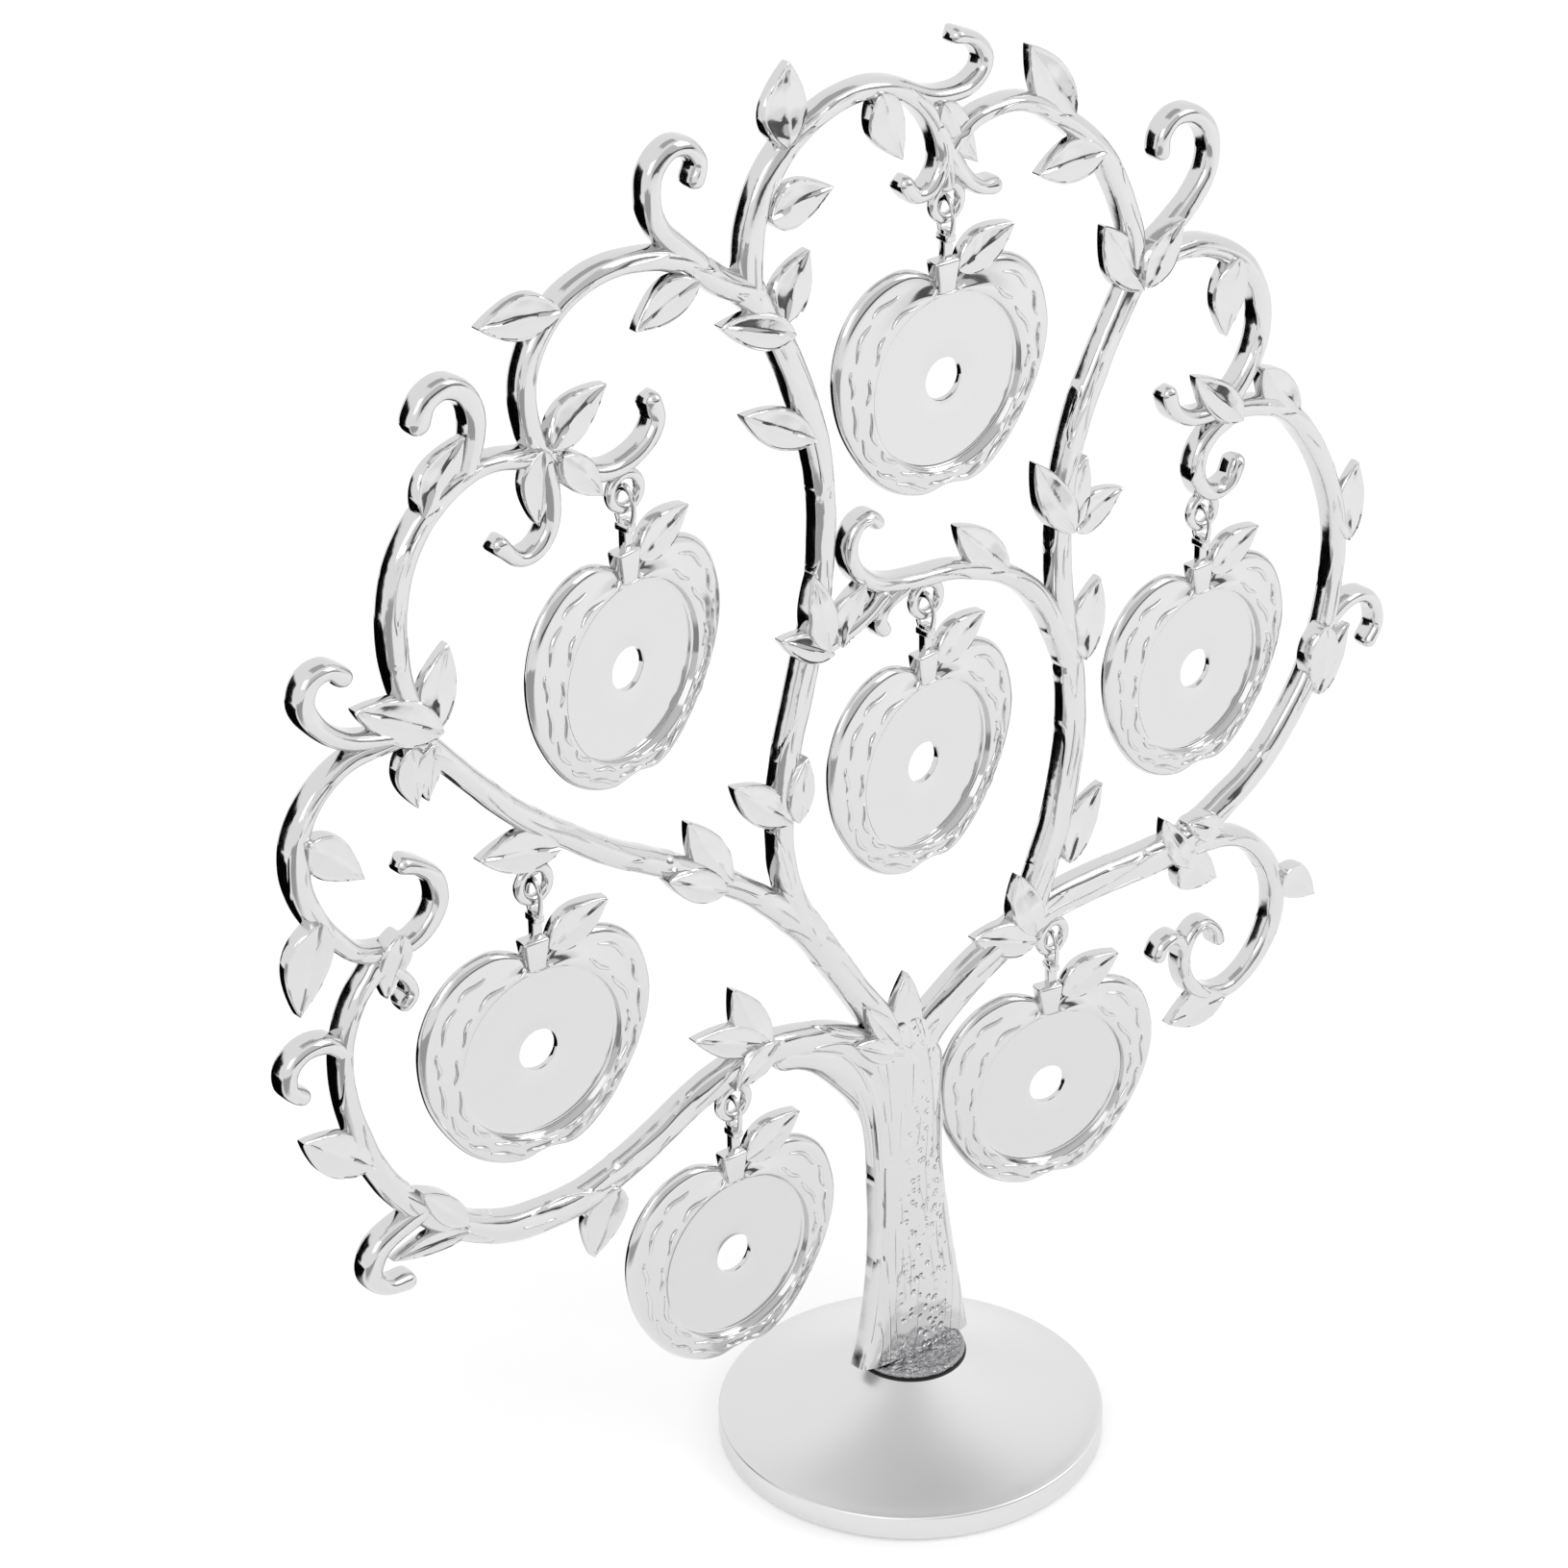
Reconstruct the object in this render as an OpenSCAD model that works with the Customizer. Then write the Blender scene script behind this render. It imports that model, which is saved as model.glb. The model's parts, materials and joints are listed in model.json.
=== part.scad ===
// Photo tree stand: a flat cast tree with curled boughs and leaves on a round base, and apple
// shaped photo pendants that hang from eyes under the boughs and swing forwards and back.
// Origin: centre of the base on the table. +Z up, the front of the tree looks along -Y, +X right.

/* [Tree] */
// Width of the tree from the left loop's leaf to the right curl
tree_w = 306; // [296:1:380]
// Height of the top leaf's tip above the table
tree_h = 333; // [325:1:410]
// Thickness of the boughs, front to back
limb_depth = 5; // [4:0.1:6]
// Thickness of the leaves, front to back
leaf_depth = 3; // [2:0.1:3.8]
// Thickness of the trunk, front to back
trunk_depth = 6.4; // [6:0.1:9]
// Added to the width of every bough
limb_extra = 0; // [-0.8:0.1:1]

/* [Pendants] */
// Diameter of the round photo recess
recess_d = 38; // [32:0.5:40]
// Depth of the photo recess
recess_depth = 1.7; // [0.8:0.1:2]
// Thickness of the apple plate
plate_t = 3.2; // [2.8:0.1:4]
// Diameter of the hole for pushing the photo out
push_hole_d = 9; // [5:0.5:14]
// Width of the hanger strap across the front
strap_w = 2.2; // [1.8:0.1:2.6]
// Thickness of the hanger strap
strap_t = 2; // [1.5:0.1:2.4]
// Length of the hanger strap between the block and its loop
strap_free = 5.4; // [4:0.2:12]
// Height of the block that holds the strap
block_h = 4.6; // [4:0.1:8]

/* [Eyes] */
// Diameter of the hole in an eye
eye_hole_d = 4.8; // [4.6:0.1:6]
// Diameter of the eye's own wire
eye_wire_d = 2.4; // [1.8:0.1:2.8]
// Gap between the hanger loop and the eye's wire, all round
loop_gap = 0.7; // [0.5:0.05:0.9]

/* [Base] */
// Diameter of the base
base_d = 86.6; // [70:0.2:120]
// Height of the base's upright rim
rim_h = 6.4; // [4:0.2:12]
// Height of the base at its centre
base_h = 20.8; // [16:0.2:30]
// Diameter of the tree's round foot
foot_d = 24.4; // [20:0.2:32]
// Height of the round foot
foot_h = 1.4; // [1:0.1:3]
// Thickness of the felt pad
felt_t = 1.2; // [1:0.1:2]
// Depth of the pocket that holds the felt pad
felt_pocket = 0.8; // [0.4:0.1:0.9]
// Diameter of the felt pad
felt_d = 80; // [60:1:82]
// Clearance round the felt pad
felt_gap = 0.4; // [0.2:0.1:0.8]
// Radius on the edges of the base's rim
rim_round = 0.8; // [0.4:0.1:1.6]
// Diameter of the fixing screw
screw_d = 4; // [3:0.5:4]
// How far the fixing screw reaches up into the trunk
screw_grip = 14; // [8:1:24]
// Clearance round the fixing screw
screw_gap = 0.3; // [0.1:0.1:0.6]

/* [Hidden] */
$fn = 48;
// The size that the hand drawn points below were laid out for
drawn_w = 306;
drawn_h = 333;
drawn_foot = 22;
tree_z = base_h + foot_h;
kx = tree_w / drawn_w;
kz = (tree_h - tree_z) / (drawn_h - drawn_foot);
function at(p) = [p[0] * kx, tree_z + (p[1] - drawn_foot) * kz];
curve_steps = 4;
// Keeps the round end of a limb inside the corners of its sides
end_inset = 0.02;
leaf_steps = 9;
// The felt pad stands proud of the base, and the top of its pocket is felt_t above the table
base_foot_z = felt_t - felt_pocket;
base_steps = 10;
// Above 1, the top of the base is hollow in outline
base_sweep = 1.25;
limb_back = 2.2;
leaf_back = limb_back - (limb_depth - leaf_depth) / 2;

// Points are [x, z, width] along the middle of each cast limb, and a leaf is [foot, tip, width]
trunk_line = [[0, 22, 32], [0.3, 28, 29], [0.3, 37, 25.6], [0, 46, 22.8], [-0.6, 57, 20.4],
    [-1.6, 70, 18.9], [-2.1, 84, 19.2], [-3.2, 95, 22.5], [-4.2, 101, 15]];

bough_low_left_line = [[-9, 101, 10], [-20, 109.5, 8.6], [-30, 113.8, 7.6], [-40, 116, 7.2],
    [-50, 115, 7], [-60, 112.3, 6.8], [-75, 105.5, 6.8], [-90, 101, 7], [-105, 101.3, 7],
    [-115, 104.3, 6.6], [-125, 110.5, 6.2], [-135, 120.5, 5.8], [-141, 130, 5.4],
    [-144.7, 140, 4.8], [-147, 150, 4.4], [-147, 160, 4.2], [-143.5, 169.5, 4.2],
    [-138, 175, 4.2]];
curl_foot_left_line = [[-131, 115.5, 4.6], [-137, 113.8, 5], [-141.5, 111.5, 5.2],
    [-143.7, 107.5, 5], [-143, 104, 4.4], [-140, 101.6, 3.8], [-135.5, 101, 3.2]];
curl_side_left_line = [[-147, 159.5, 3.8], [-151, 162.8, 4], [-156, 163.2, 4.2],
    [-159.7, 160.5, 4.2], [-160.2, 156.5, 3.6], [-157.6, 153.8, 3]];
low_left_leaves = [[[-42, 119], [-61, 127], 7.4], [[-42, 118], [-50.5, 135.3], 8.2],
    [[-40, 119.5], [-52, 112.2], 6.6], [[-83, 101.5], [-89, 86], 10.5],
    [[-121.5, 109.5], [-132.5, 121.8], 5.6], [[-121, 107.5], [-139, 107.5], 5],
    [[-143.5, 132.5], [-158.4, 143.5], 9], [[-5, 102], [-19, 109.6], 6]];

loop_left_line = [[-134, 177.4, 4.2], [-141.5, 179.3, 4], [-146.5, 183.8, 4.2],
    [-151, 190, 4.8], [-154, 197, 5.2], [-155, 204, 5.4], [-153.7, 210.5, 5],
    [-150, 216, 4.4], [-144.5, 220, 4], [-138, 221.8, 3.8], [-126, 222, 3.8]];
loop_left_curl_line = [[-136, 177.6, 4], [-130, 177.3, 4], [-125.8, 179.5, 4.2],
    [-122.9, 184, 4.2], [-123.5, 189.3, 4], [-127, 193, 3.6], [-130.6, 194.8, 3]];
loop_left_bud_line = [[-135, 174, 3], [-131.4, 169.8, 2.8], [-130.4, 166.4, 2.8],
    [-132.2, 164.6, 2.6]];
loop_left_leaves = [[[-153.5, 208.5], [-140.2, 195.7], 8.4], [[-151.8, 191], [-157, 171.5], 10.4],
    [[-133.8, 182], [-136.8, 167.6], 7]];

bough_mid_left_line = [[-4.5, 101, 8.6], [-10, 111.5, 7.6], [-15.4, 120, 7], [-21.7, 130, 7],
    [-28, 139.5, 7.2], [-34, 146, 7], [-40, 151.8, 6], [-47, 157.8, 5.6], [-60, 166.5, 5.6],
    [-70, 172.6, 5.6], [-80, 178.3, 5.6], [-90, 185.6, 5.4], [-102, 195, 5.4],
    [-110, 203, 5.2], [-118, 212, 5], [-126, 221.5, 4.8]];
eye_tab_line = [[-98, 190, 4.4], [-99.2, 182.4, 3.6]];
curl_up_left_line = [[-126, 222, 3.8], [-134, 223.4, 3.8], [-142, 225.7, 4],
    [-148, 230.5, 4.4], [-151, 236, 4.8], [-149.5, 240.5, 4.6], [-145.5, 241.6, 4],
    [-142, 239.3, 3.4]];
mid_left_leaves = [[[-121.5, 221.5], [-140.3, 231.6], 9], [[-123, 222], [-118, 238.5], 8.6],
    [[-129, 220.5], [-127, 206.2], 6.8], [[-123.5, 219.5], [-124.5, 206.8], 6],
    [[-51.5, 162], [-61.3, 178.8], 8], [[-53, 160.6], [-68.3, 168.8], 7],
    [[-94.5, 186], [-113.3, 189.4], 9], [[-6, 104], [-16, 118], 5],
    [[-3, 102.5], [-2.2, 120.3], 8.4]];

arch_left_line = [[-125, 222.5, 4.8], [-128.5, 233, 5], [-129.6, 241, 5.6], [-129.3, 249, 5.8],
    [-127.3, 256.5, 5.8], [-123.5, 263, 5.4], [-118, 268, 5], [-112, 271, 4.6],
    [-106, 271.8, 4.2], [-99, 270.6, 4.2], [-94, 269.8, 4.2]];
arch_left_curl_line = [[-111.5, 271.5, 4.2], [-109.3, 278, 4.4], [-109.2, 283.5, 4.6],
    [-111.5, 288, 4.8], [-116, 290, 4.8], [-120, 288.4, 4.6], [-121.8, 284.8, 4]];
arch_left_leaves = [[[-123.5, 267], [-111.8, 279.3], 8.6]];

branch_left_line = [[-27, 139, 6.8], [-31, 145.5, 6.4], [-33.8, 152, 6], [-35.3, 159, 5.6],
    [-36, 166, 5.4], [-35.5, 175, 5.6], [-33.8, 185, 5.8], [-31, 195, 6], [-28.2, 205, 6],
    [-26, 213, 5.6], [-24.8, 220, 5.2], [-24, 229, 5.2], [-24, 240, 5.4], [-25.4, 250, 6],
    [-28.2, 260, 6.2], [-31.8, 270, 6.2], [-35.3, 277.5, 6.2], [-39, 283.5, 6.2],
    [-42.5, 289, 6]];
branch_left_leaves = [[[-35.5, 169.8], [-49.2, 182.3], 8], [[-34, 169.5], [-31.3, 184], 6.4],
    [[-28, 253.5], [-45, 263.2], 8], [[-33, 277.8], [-50.3, 283.6], 7.4],
    [[-35.5, 280.5], [-27.7, 293.6], 9.6], [[-24, 205], [-36.3, 211.3], 6],
    [[-25.5, 206], [-28, 223.8], 7], [[-36, 153], [-39.2, 168], 3.6]];

arch_up_left_line = [[-41, 288, 6], [-48, 291.7, 6], [-54, 296.3, 5.8], [-60, 299.8, 5.2],
    [-67, 302, 4.8], [-75, 302.8, 4.6], [-82, 301.8, 4.8], [-89, 298.3, 5], [-94, 292.8, 5],
    [-96.8, 286, 4.8], [-96.8, 279, 4.6], [-95, 272.5, 4.6], [-92, 268, 4.6]];
arch_up_left_curl_line = [[-55, 298, 5], [-60, 303, 4.8], [-64, 307.5, 4.4], [-66, 313, 4.4],
    [-65.3, 319, 4.4], [-61.5, 322.5, 4.2], [-57, 322, 4], [-54.3, 318.5, 3.6],
    [-55.2, 315, 3]];
cluster_right_curl_line = [[-92, 269.5, 4.6], [-86, 264.6, 4.4], [-80, 262, 4.4],
    [-74, 262.2, 4.2], [-68.7, 264.8, 4.2], [-66, 269, 4], [-67, 273, 3.2]];
cluster_left_curl_line = [[-93, 268, 4.2], [-92, 261, 4], [-92.4, 255, 3.8],
    [-95.6, 250.8, 3.8], [-100.3, 250.2, 3.6], [-104.6, 254.3, 3.2]];
up_left_leaves = [[[-89.5, 298.5], [-107.8, 299.6], 8.8], [[-56.5, 295.5], [-71, 288.6], 8.4],
    [[-93, 271.5], [-78.3, 280.2], 9.2], [[-95, 272], [-95.6, 255.8], 7.6],
    [[-91, 269.5], [-80.4, 257.6], 6.6]];

arch_top_left_line = [[-42, 288.5, 5.4], [-42, 295, 6], [-41, 302, 6], [-38, 309, 6],
    [-33.5, 314.5, 5.6], [-28, 318.3, 5], [-21, 321.2, 4.6], [-14, 322.3, 4.4],
    [-7, 321.5, 4.4], [-1, 318.5, 4.6], [4, 313.6, 4.6], [7, 307.5, 4.4], [7.4, 302, 4.2],
    [4.6, 297.8, 3.8], [0.5, 297, 3.6], [-2.3, 300, 3]];
curl_top_line = [[-2, 319.5, 4], [4, 316.8, 3.8], [9, 316, 3.8], [14, 316.3, 3.8],
    [17.8, 318.8, 3.6], [18.4, 322.3, 3.4], [15.6, 325.8, 3.2], [11, 327.6, 2.8]];
fleur_line = [[6, 310, 4], [9.5, 303, 4.6], [13.2, 298, 4], [17, 294.8, 3.6], [21, 293.8, 3.2]];
fleur_stem_line = [[7.5, 306, 4], [8.2, 301, 3.6], [8.2, 297.6, 3]];
top_left_leaves = [[[-34.2, 316.3], [-32.2, 333], 10.6], [[-38.5, 303], [-21.3, 304.8], 9.4],
    [[-10.6, 321.4], [-3.6, 305.8], 8.6]];

arch_top_right_line = [[8.5, 304, 4], [15.5, 308.8, 4], [22, 310, 3.8], [28, 309.6, 4],
    [34, 307.2, 4.4], [40, 303.3, 4.8], [46, 298.5, 5], [51, 293, 5.2], [54.8, 287, 5.2],
    [58, 280, 5.2], [60.5, 273, 5.2], [61.5, 266, 5.2]];
top_right_leaves = [[[5.5, 315.5], [16.2, 300.2], 7.4], [[41.2, 304], [30, 321.3], 9],
    [[50, 293.8], [32.8, 293], 9.2]];

branch_right_line = [[34, 119, 7.2], [35.5, 124, 7.6], [38.5, 132, 7.4], [41.8, 140, 7.2],
    [44, 149, 7], [45.8, 160, 6.8], [45.9, 170, 6.6], [44.8, 181, 6.4], [42.8, 190, 6],
    [41.7, 199, 5.6], [41.4, 208, 5.4], [41.8, 217, 5.4], [43.2, 226, 5.8], [46.2, 235.5, 6],
    [50, 243.5, 6], [54.3, 251, 6], [58.3, 257.5, 6], [62, 263.5, 6]];
branch_right_leaves = [[[43, 131], [54.3, 146.4], 9], [[46.8, 179.5], [52.4, 197], 9.4],
    [[42.5, 211], [33.2, 229.3], 8], [[43.5, 211], [48, 226.5], 7.2],
    [[43.5, 211], [58.8, 215.8], 8.4], [[61.5, 260.5], [51.5, 277], 9]];

arch_centre_line = [[44.5, 180, 6], [40.5, 189, 5.6], [36, 196.5, 5.2], [31, 202, 5],
    [25, 206.3, 4.8], [18, 209.3, 4.4], [10, 211.8, 4.2], [2, 212.7, 4.2], [-5, 213.8, 4],
    [-11.5, 216.3, 4], [-16, 220.7, 3.8], [-17.3, 225.7, 3.6], [-15.6, 229.8, 3.2],
    [-12.3, 231, 3], [-10.2, 229.5, 2.6]];
arch_centre_spur_line = [[-3, 212.3, 3.4], [-8, 210, 3.4], [-9.6, 207, 3.2], [-8.6, 204.6, 2.8]];
arch_centre_tie_line = [[-27, 205, 4], [-15, 208.5, 4], [-9, 212, 3.6]];
centre_leaves = [[[24.5, 208], [11.2, 221.8], 8], [[-21.5, 205.5], [-14.6, 217.8], 7.4]];

arch_right_line = [[61.2, 262.9, 5.6], [67, 264.6, 5.4], [73, 265.5, 5.2], [80, 264.6, 5.2],
    [87, 261.8, 5.2], [93, 257.5, 5.2], [97.3, 251.5, 5], [99.2, 245, 5], [98.5, 238, 5],
    [95.5, 232, 4.8], [91, 227, 4.6]];
curl_up_right_line = [[64, 267, 4.6], [71, 271, 4.6], [77, 275.3, 4.6], [81.3, 280.6, 4.4],
    [82.4, 286.5, 4.4], [80.6, 291.5, 4.2], [76.5, 294.9, 4.2], [71.5, 295.2, 4],
    [68.2, 292.4, 3.8], [67.8, 288.9, 3.2]];
arch_right_leaves = [[[62, 261], [72.4, 273.8], 8.4], [[89.5, 260], [88, 242], 9.4]];

hook_right_line = [[92, 222.8, 4.2], [86, 220.6, 4.4], [82, 217, 4.4], [80.9, 212.5, 4.4],
    [82.6, 208.3, 4.2], [86.5, 205.9, 4], [91, 207, 3.8], [93.2, 210.6, 3.4]];
curl_hook_line = [[92, 225.5, 4], [85, 225, 4], [78.5, 225.8, 4], [73.6, 229, 3.8],
    [72, 233, 3.2]];
hook_leaves = [[[92, 222], [79.3, 235.2], 7.4]];

branch_far_right_line = [[89.5, 224, 4.6], [97, 222.8, 4.6], [104.5, 220.6, 4.8], [111, 216, 5],
    [116, 209.8, 5], [120, 203, 5], [123, 196, 5], [125.1, 189, 5], [126, 181, 4.8],
    [125.5, 172, 4.8], [123.6, 162.5, 5], [120.4, 153.5, 5.6], [115.5, 145, 6],
    [108.3, 136.2, 6.2], [100.5, 130.2, 6.4], [93, 126.2, 6.8], [84, 122, 7.2]];
curl_far_right_line = [[123.5, 161.5, 4], [129.5, 165.2, 3.8], [135, 165.2, 3.6],
    [139, 161.8, 3.4], [140.1, 156.8, 3.2], [137.8, 152.8, 2.8]];
far_right_leaves = [[[109.8, 218.5], [98.3, 232], 8.4], [[127.3, 182], [131, 199.8], 8.8],
    [[121, 163], [120.2, 145.4], 8.8], [[119.5, 146], [130.6, 159.8], 9]];

bough_right_line = [[-4, 94, 12], [3, 102.3, 10.5], [10, 107.8, 9.6], [17, 112, 9.2],
    [25, 115.6, 9], [33, 118.6, 8.8], [42, 120.5, 8.6], [52, 121, 8.6], [62, 120.8, 8.4],
    [72, 120.6, 8.4], [80, 120.8, 8], [87, 122.4, 7.4]];
bough_right_leaves = [[[33.5, 115], [16.8, 121.2], 8], [[33, 117], [29.8, 132.3], 8],
    [[79.5, 116.5], [73.6, 130], 5.8], [[90.6, 122], [80.3, 126.5], 6.4],
    [[77.5, 117.5], [90.9, 108.6], 10]];

loop_low_right_line = [[84, 119.6, 5.6], [93, 118, 5], [100, 115, 4.8], [106, 109, 4.8],
    [110, 101.5, 4.8], [110.8, 93.5, 4.8], [108.5, 86.5, 4.6], [103.5, 80.5, 4.4],
    [97, 77.4, 4.2], [90.5, 78.3, 4], [85, 82, 3.8], [82, 87, 3.6], [81.6, 92.5, 3.4],
    [84.2, 96.8, 3.2], [88, 97.5, 3.2], [91.3, 94.9, 3], [92.3, 92, 2.6]];
curl_low_right_line = [[81.8, 90, 3.2], [80.6, 95.2, 3.2], [77.8, 97.7, 3.2], [74.7, 97, 3],
    [73.4, 94.5, 2.6]];
low_right_leaves = [[[111.5, 102.5], [123.4, 92], 8.2], [[93, 77], [76.8, 75.4], 9.4]];

// Half the width of a leaf at t along it, as a share of its full half width
function leaf_half(t) = sin(180 * pow(t, 0.82)) * (1 - 0.12 * t);
function leaf_side(a, b, w, s) = let (d = b - a, n = [-d[1], d[0]] / norm(d))
    [for (i = [0:leaf_steps]) let (t = i / leaf_steps) a + d * t + n * s * w / 2 * leaf_half(t)];
function leaf_outline(a, b, w) = let (right = leaf_side(a, b, w, -1))
    concat(leaf_side(a, b, w, 1), [for (i = [leaf_steps - 1:-1:1]) right[i]]);
function spline(a, b, c, d, t) = (2 * b + (c - a) * t + (2 * a - 5 * b + 4 * c - d) * t * t
    + (3 * b - a - 3 * c + d) * t * t * t) / 2;
function curve(p) = let (n = len(p) - 1) concat(
    [for (i = [0:n - 1], j = [0:curve_steps - 1])
        spline(p[max(i - 1, 0)], p[i], p[i + 1], p[min(i + 2, n)], j / curve_steps)], [p[n]]);
function flat(p) = [p[0], p[1]];
function limb_side(q, s) = let (n = len(q) - 1)
    [for (i = [0:n]) let (d = flat(q[min(i + 1, n)]) - flat(q[max(i - 1, 0)]), u = d / norm(d))
        flat(q[i]) + s * (q[i][2] + limb_extra) / 2 * [-u[1], u[0]]];
function reversed(v) = [for (i = [len(v) - 1:-1:0]) v[i]];
function placed(p) = [for (v = p) [at(v)[0], at(v)[1], v[2]]];

module limb_shape(p)
{
    q = curve(placed(p));
    end = q[len(q) - 1];
    polygon(concat(limb_side(q, 1), reversed(limb_side(q, -1))));
    translate(flat(end))
        circle(d = end[2] + limb_extra - end_inset, $fn = 20);
}

module limb_shapes(list)
    for (p = list)
        limb_shape(p);

module leaf_shapes(list)
    for (f = list)
        polygon(leaf_outline(at(f[0]), at(f[1]), f[2]));

// Raises a shape drawn in X and Z to a plate from back to back - depth
module upright(back, depth)
    translate([0, back, 0])
        rotate([90, 0, 0])
            linear_extrude(depth)
                children();

// Each cast piece of the tree: its name, its limbs and its leaves. A piece that comes later stops
// against the limbs of those before it, and every leaf stops against the other pieces' limbs.
PIECES = [
    ["trunk", [trunk_line], []],
    ["bough_low_left", [bough_low_left_line, curl_foot_left_line, curl_side_left_line],
        low_left_leaves],
    ["bough_mid_left", [bough_mid_left_line, curl_up_left_line, eye_tab_line], mid_left_leaves],
    ["bough_right", [bough_right_line], bough_right_leaves],
    ["branch_left", [branch_left_line], branch_left_leaves],
    ["branch_right", [branch_right_line], branch_right_leaves],
    ["branch_far_right", [branch_far_right_line, curl_far_right_line], far_right_leaves],
    ["loop_low_right", [loop_low_right_line, curl_low_right_line], low_right_leaves],
    ["arch_top_left", [arch_top_left_line, curl_top_line, fleur_line, fleur_stem_line],
        top_left_leaves],
    ["arch_up_left", [arch_up_left_line, arch_up_left_curl_line, cluster_right_curl_line,
        cluster_left_curl_line], up_left_leaves],
    ["arch_left", [arch_left_line, arch_left_curl_line], arch_left_leaves],
    ["loop_left", [loop_left_line, loop_left_curl_line, loop_left_bud_line], loop_left_leaves],
    ["arch_top_right", [arch_top_right_line], top_right_leaves],
    ["arch_right", [arch_right_line, curl_up_right_line], arch_right_leaves],
    ["hook_right", [hook_right_line, curl_hook_line], hook_leaves],
    ["arch_centre", [arch_centre_line, arch_centre_spur_line, arch_centre_tie_line],
        centre_leaves]
];
function place_of(name) = search([name], PIECES)[0];
function limbs_before(i) = [for (j = [0:1:i - 1]) each PIECES[j][1]];
function other_limbs(i) = [for (j = [0:len(PIECES) - 1]) if (j != i) each PIECES[j][1]];
function leaves_before(i) = [for (j = [0:1:i - 1]) each PIECES[j][2]];

// Each pendant: the piece that carries its eye, the place on that piece over the eye, how far
// under it the eye's middle is, which no change of the tree's size stretches, and its turn about Z
PENDANTS = [
    ["arch_top_left", [9.3, 297.6], 4.2, -3],
    ["arch_up_left", [-73.6, 262.2], 6.3, 9],
    ["arch_centre", [4.1, 212.4], 5.2, 5],
    ["hook_right", [84, 206.9], 4.9, 1],
    ["bough_mid_left", [-99.3, 182.4], 3.8, -4],
    ["bough_low_left", [-49.8, 115], 7.8, -2],
    ["bough_right", [41.4, 120.5], 8.5, -12]
];
eye_ring_r = (eye_hole_d + eye_wire_d) / 2;
function pivot(i) = let (p = PENDANTS[i], over = at(p[1]))
    [over[0], 0, over[1] - p[2] - eye_ring_r];

module eye(i)
    translate(pivot(i) + [0, 0, eye_ring_r])
        rotate([90, 0, 0])
            rotate_extrude()
                translate([eye_ring_r, 0])
                    circle(d = eye_wire_d, $fn = 32);

// One cast piece with its leaves and the eyes under it
module cast_piece(name)
{
    i = place_of(name);
    color("gainsboro") {
        upright(limb_back, limb_depth)
            difference() {
                limb_shapes(PIECES[i][1]);
                limb_shapes(limbs_before(i));
            }
        upright(leaf_back, leaf_depth)
            difference() {
                leaf_shapes(PIECES[i][2]);
                limb_shapes(other_limbs(i));
                leaf_shapes(leaves_before(i));
            }
        for (k = [0:len(PENDANTS) - 1])
            if (PENDANTS[k][0] == name)
                eye(k);
    }
}

// The foot disc reaches this far up into the trunk
foot_seat = 0.01;
trunk_back = limb_back + (trunk_depth - limb_depth) / 2;
module trunk()
    color("gainsboro")
        difference() {
            union() {
                upright(trunk_back, trunk_depth)
                    limb_shape(trunk_line);
                translate([0, 0, base_h])
                    cylinder(h = foot_h + foot_seat, d = foot_d);
            }
            translate([0, 0, base_h - 1])
                cylinder(h = foot_h + screw_grip + screw_gap + 1, d = screw_d + screw_gap);
        }

head_d = screw_d * 2;
head_h = screw_d * 0.65;
head_z = felt_t + screw_gap;
module base()
    color("silver")
        difference() {
            rotate_extrude($fn = 96)
                polygon(concat(
                    [[0, base_foot_z], [base_d / 2 - rim_round, base_foot_z]],
                    [for (a = [-90:30:0]) [base_d / 2 - rim_round, base_foot_z + rim_round]
                        + rim_round * [cos(a), sin(a)]],
                    [for (a = [0:30:60]) [base_d / 2 - rim_round, rim_h - rim_round]
                        + rim_round * [cos(a), sin(a)]],
                    [for (i = [1:base_steps]) let (t = i / base_steps)
                        [base_d / 2 - rim_round - (base_d / 2 - rim_round - foot_d / 2) * t,
                            rim_h + (base_h - rim_h) * pow(t, base_sweep)]],
                    [[0, base_h]]));
            translate([0, 0, -1])
                cylinder(h = felt_t + 1, d = felt_d + felt_gap);
            translate([0, 0, -1])
                cylinder(h = head_z + head_h + 1, d = head_d + 2 * screw_gap);
            translate([0, 0, -1])
                cylinder(h = base_h + 2, d = screw_d + screw_gap);
        }

module felt_pad()
    color("dimgray")
        cylinder(h = felt_t, d = felt_d, $fn = 96);

module screw()
    color("darkgray") {
        translate([0, 0, head_z])
            cylinder(h = head_h - screw_gap, d = head_d);
        translate([0, 0, head_z])
            cylinder(h = base_h - head_z + foot_h + screw_grip, d = screw_d);
    }

// The apple's outline round the hole's centre, drawn for a recess of drawn_recess
drawn_recess = 38;
apple_line = [[0, 20.5], [-4.5, 24], [-11, 26], [-19, 23.6], [-25.3, 17], [-28, 7.5], [-26.4, -4],
    [-20.8, -14.5], [-14, -21.2], [-6, -24.5], [1, -23.7], [7.5, -24.5], [13.5, -21.3],
    [19.6, -14.5], [25.3, -4.5], [27.6, 5.5], [25.3, 15.6], [20, 21.6], [13, 24], [5, 23]];
apple_steps = 3;
ka = recess_d / drawn_recess;
function ring_curve(p) = let (n = len(p))
    [for (i = [0:n - 1], j = [0:apple_steps - 1])
        spline(p[(i + n - 1) % n], p[i], p[(i + 1) % n], p[(i + 2) % n], j / apple_steps)];

// How far the strap stands to the right of the push-out hole's centre
strap_off = 0.3;
// The block on the stem, drawn for a recess of drawn_recess: its sides from the strap's middle,
// its foot, and the neck from which block_h is measured
block_left = 5;
block_right = 3;
block_foot = 19.6 * ka;
block_neck = 22 * ka;
block_top = block_neck + block_h;
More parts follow.
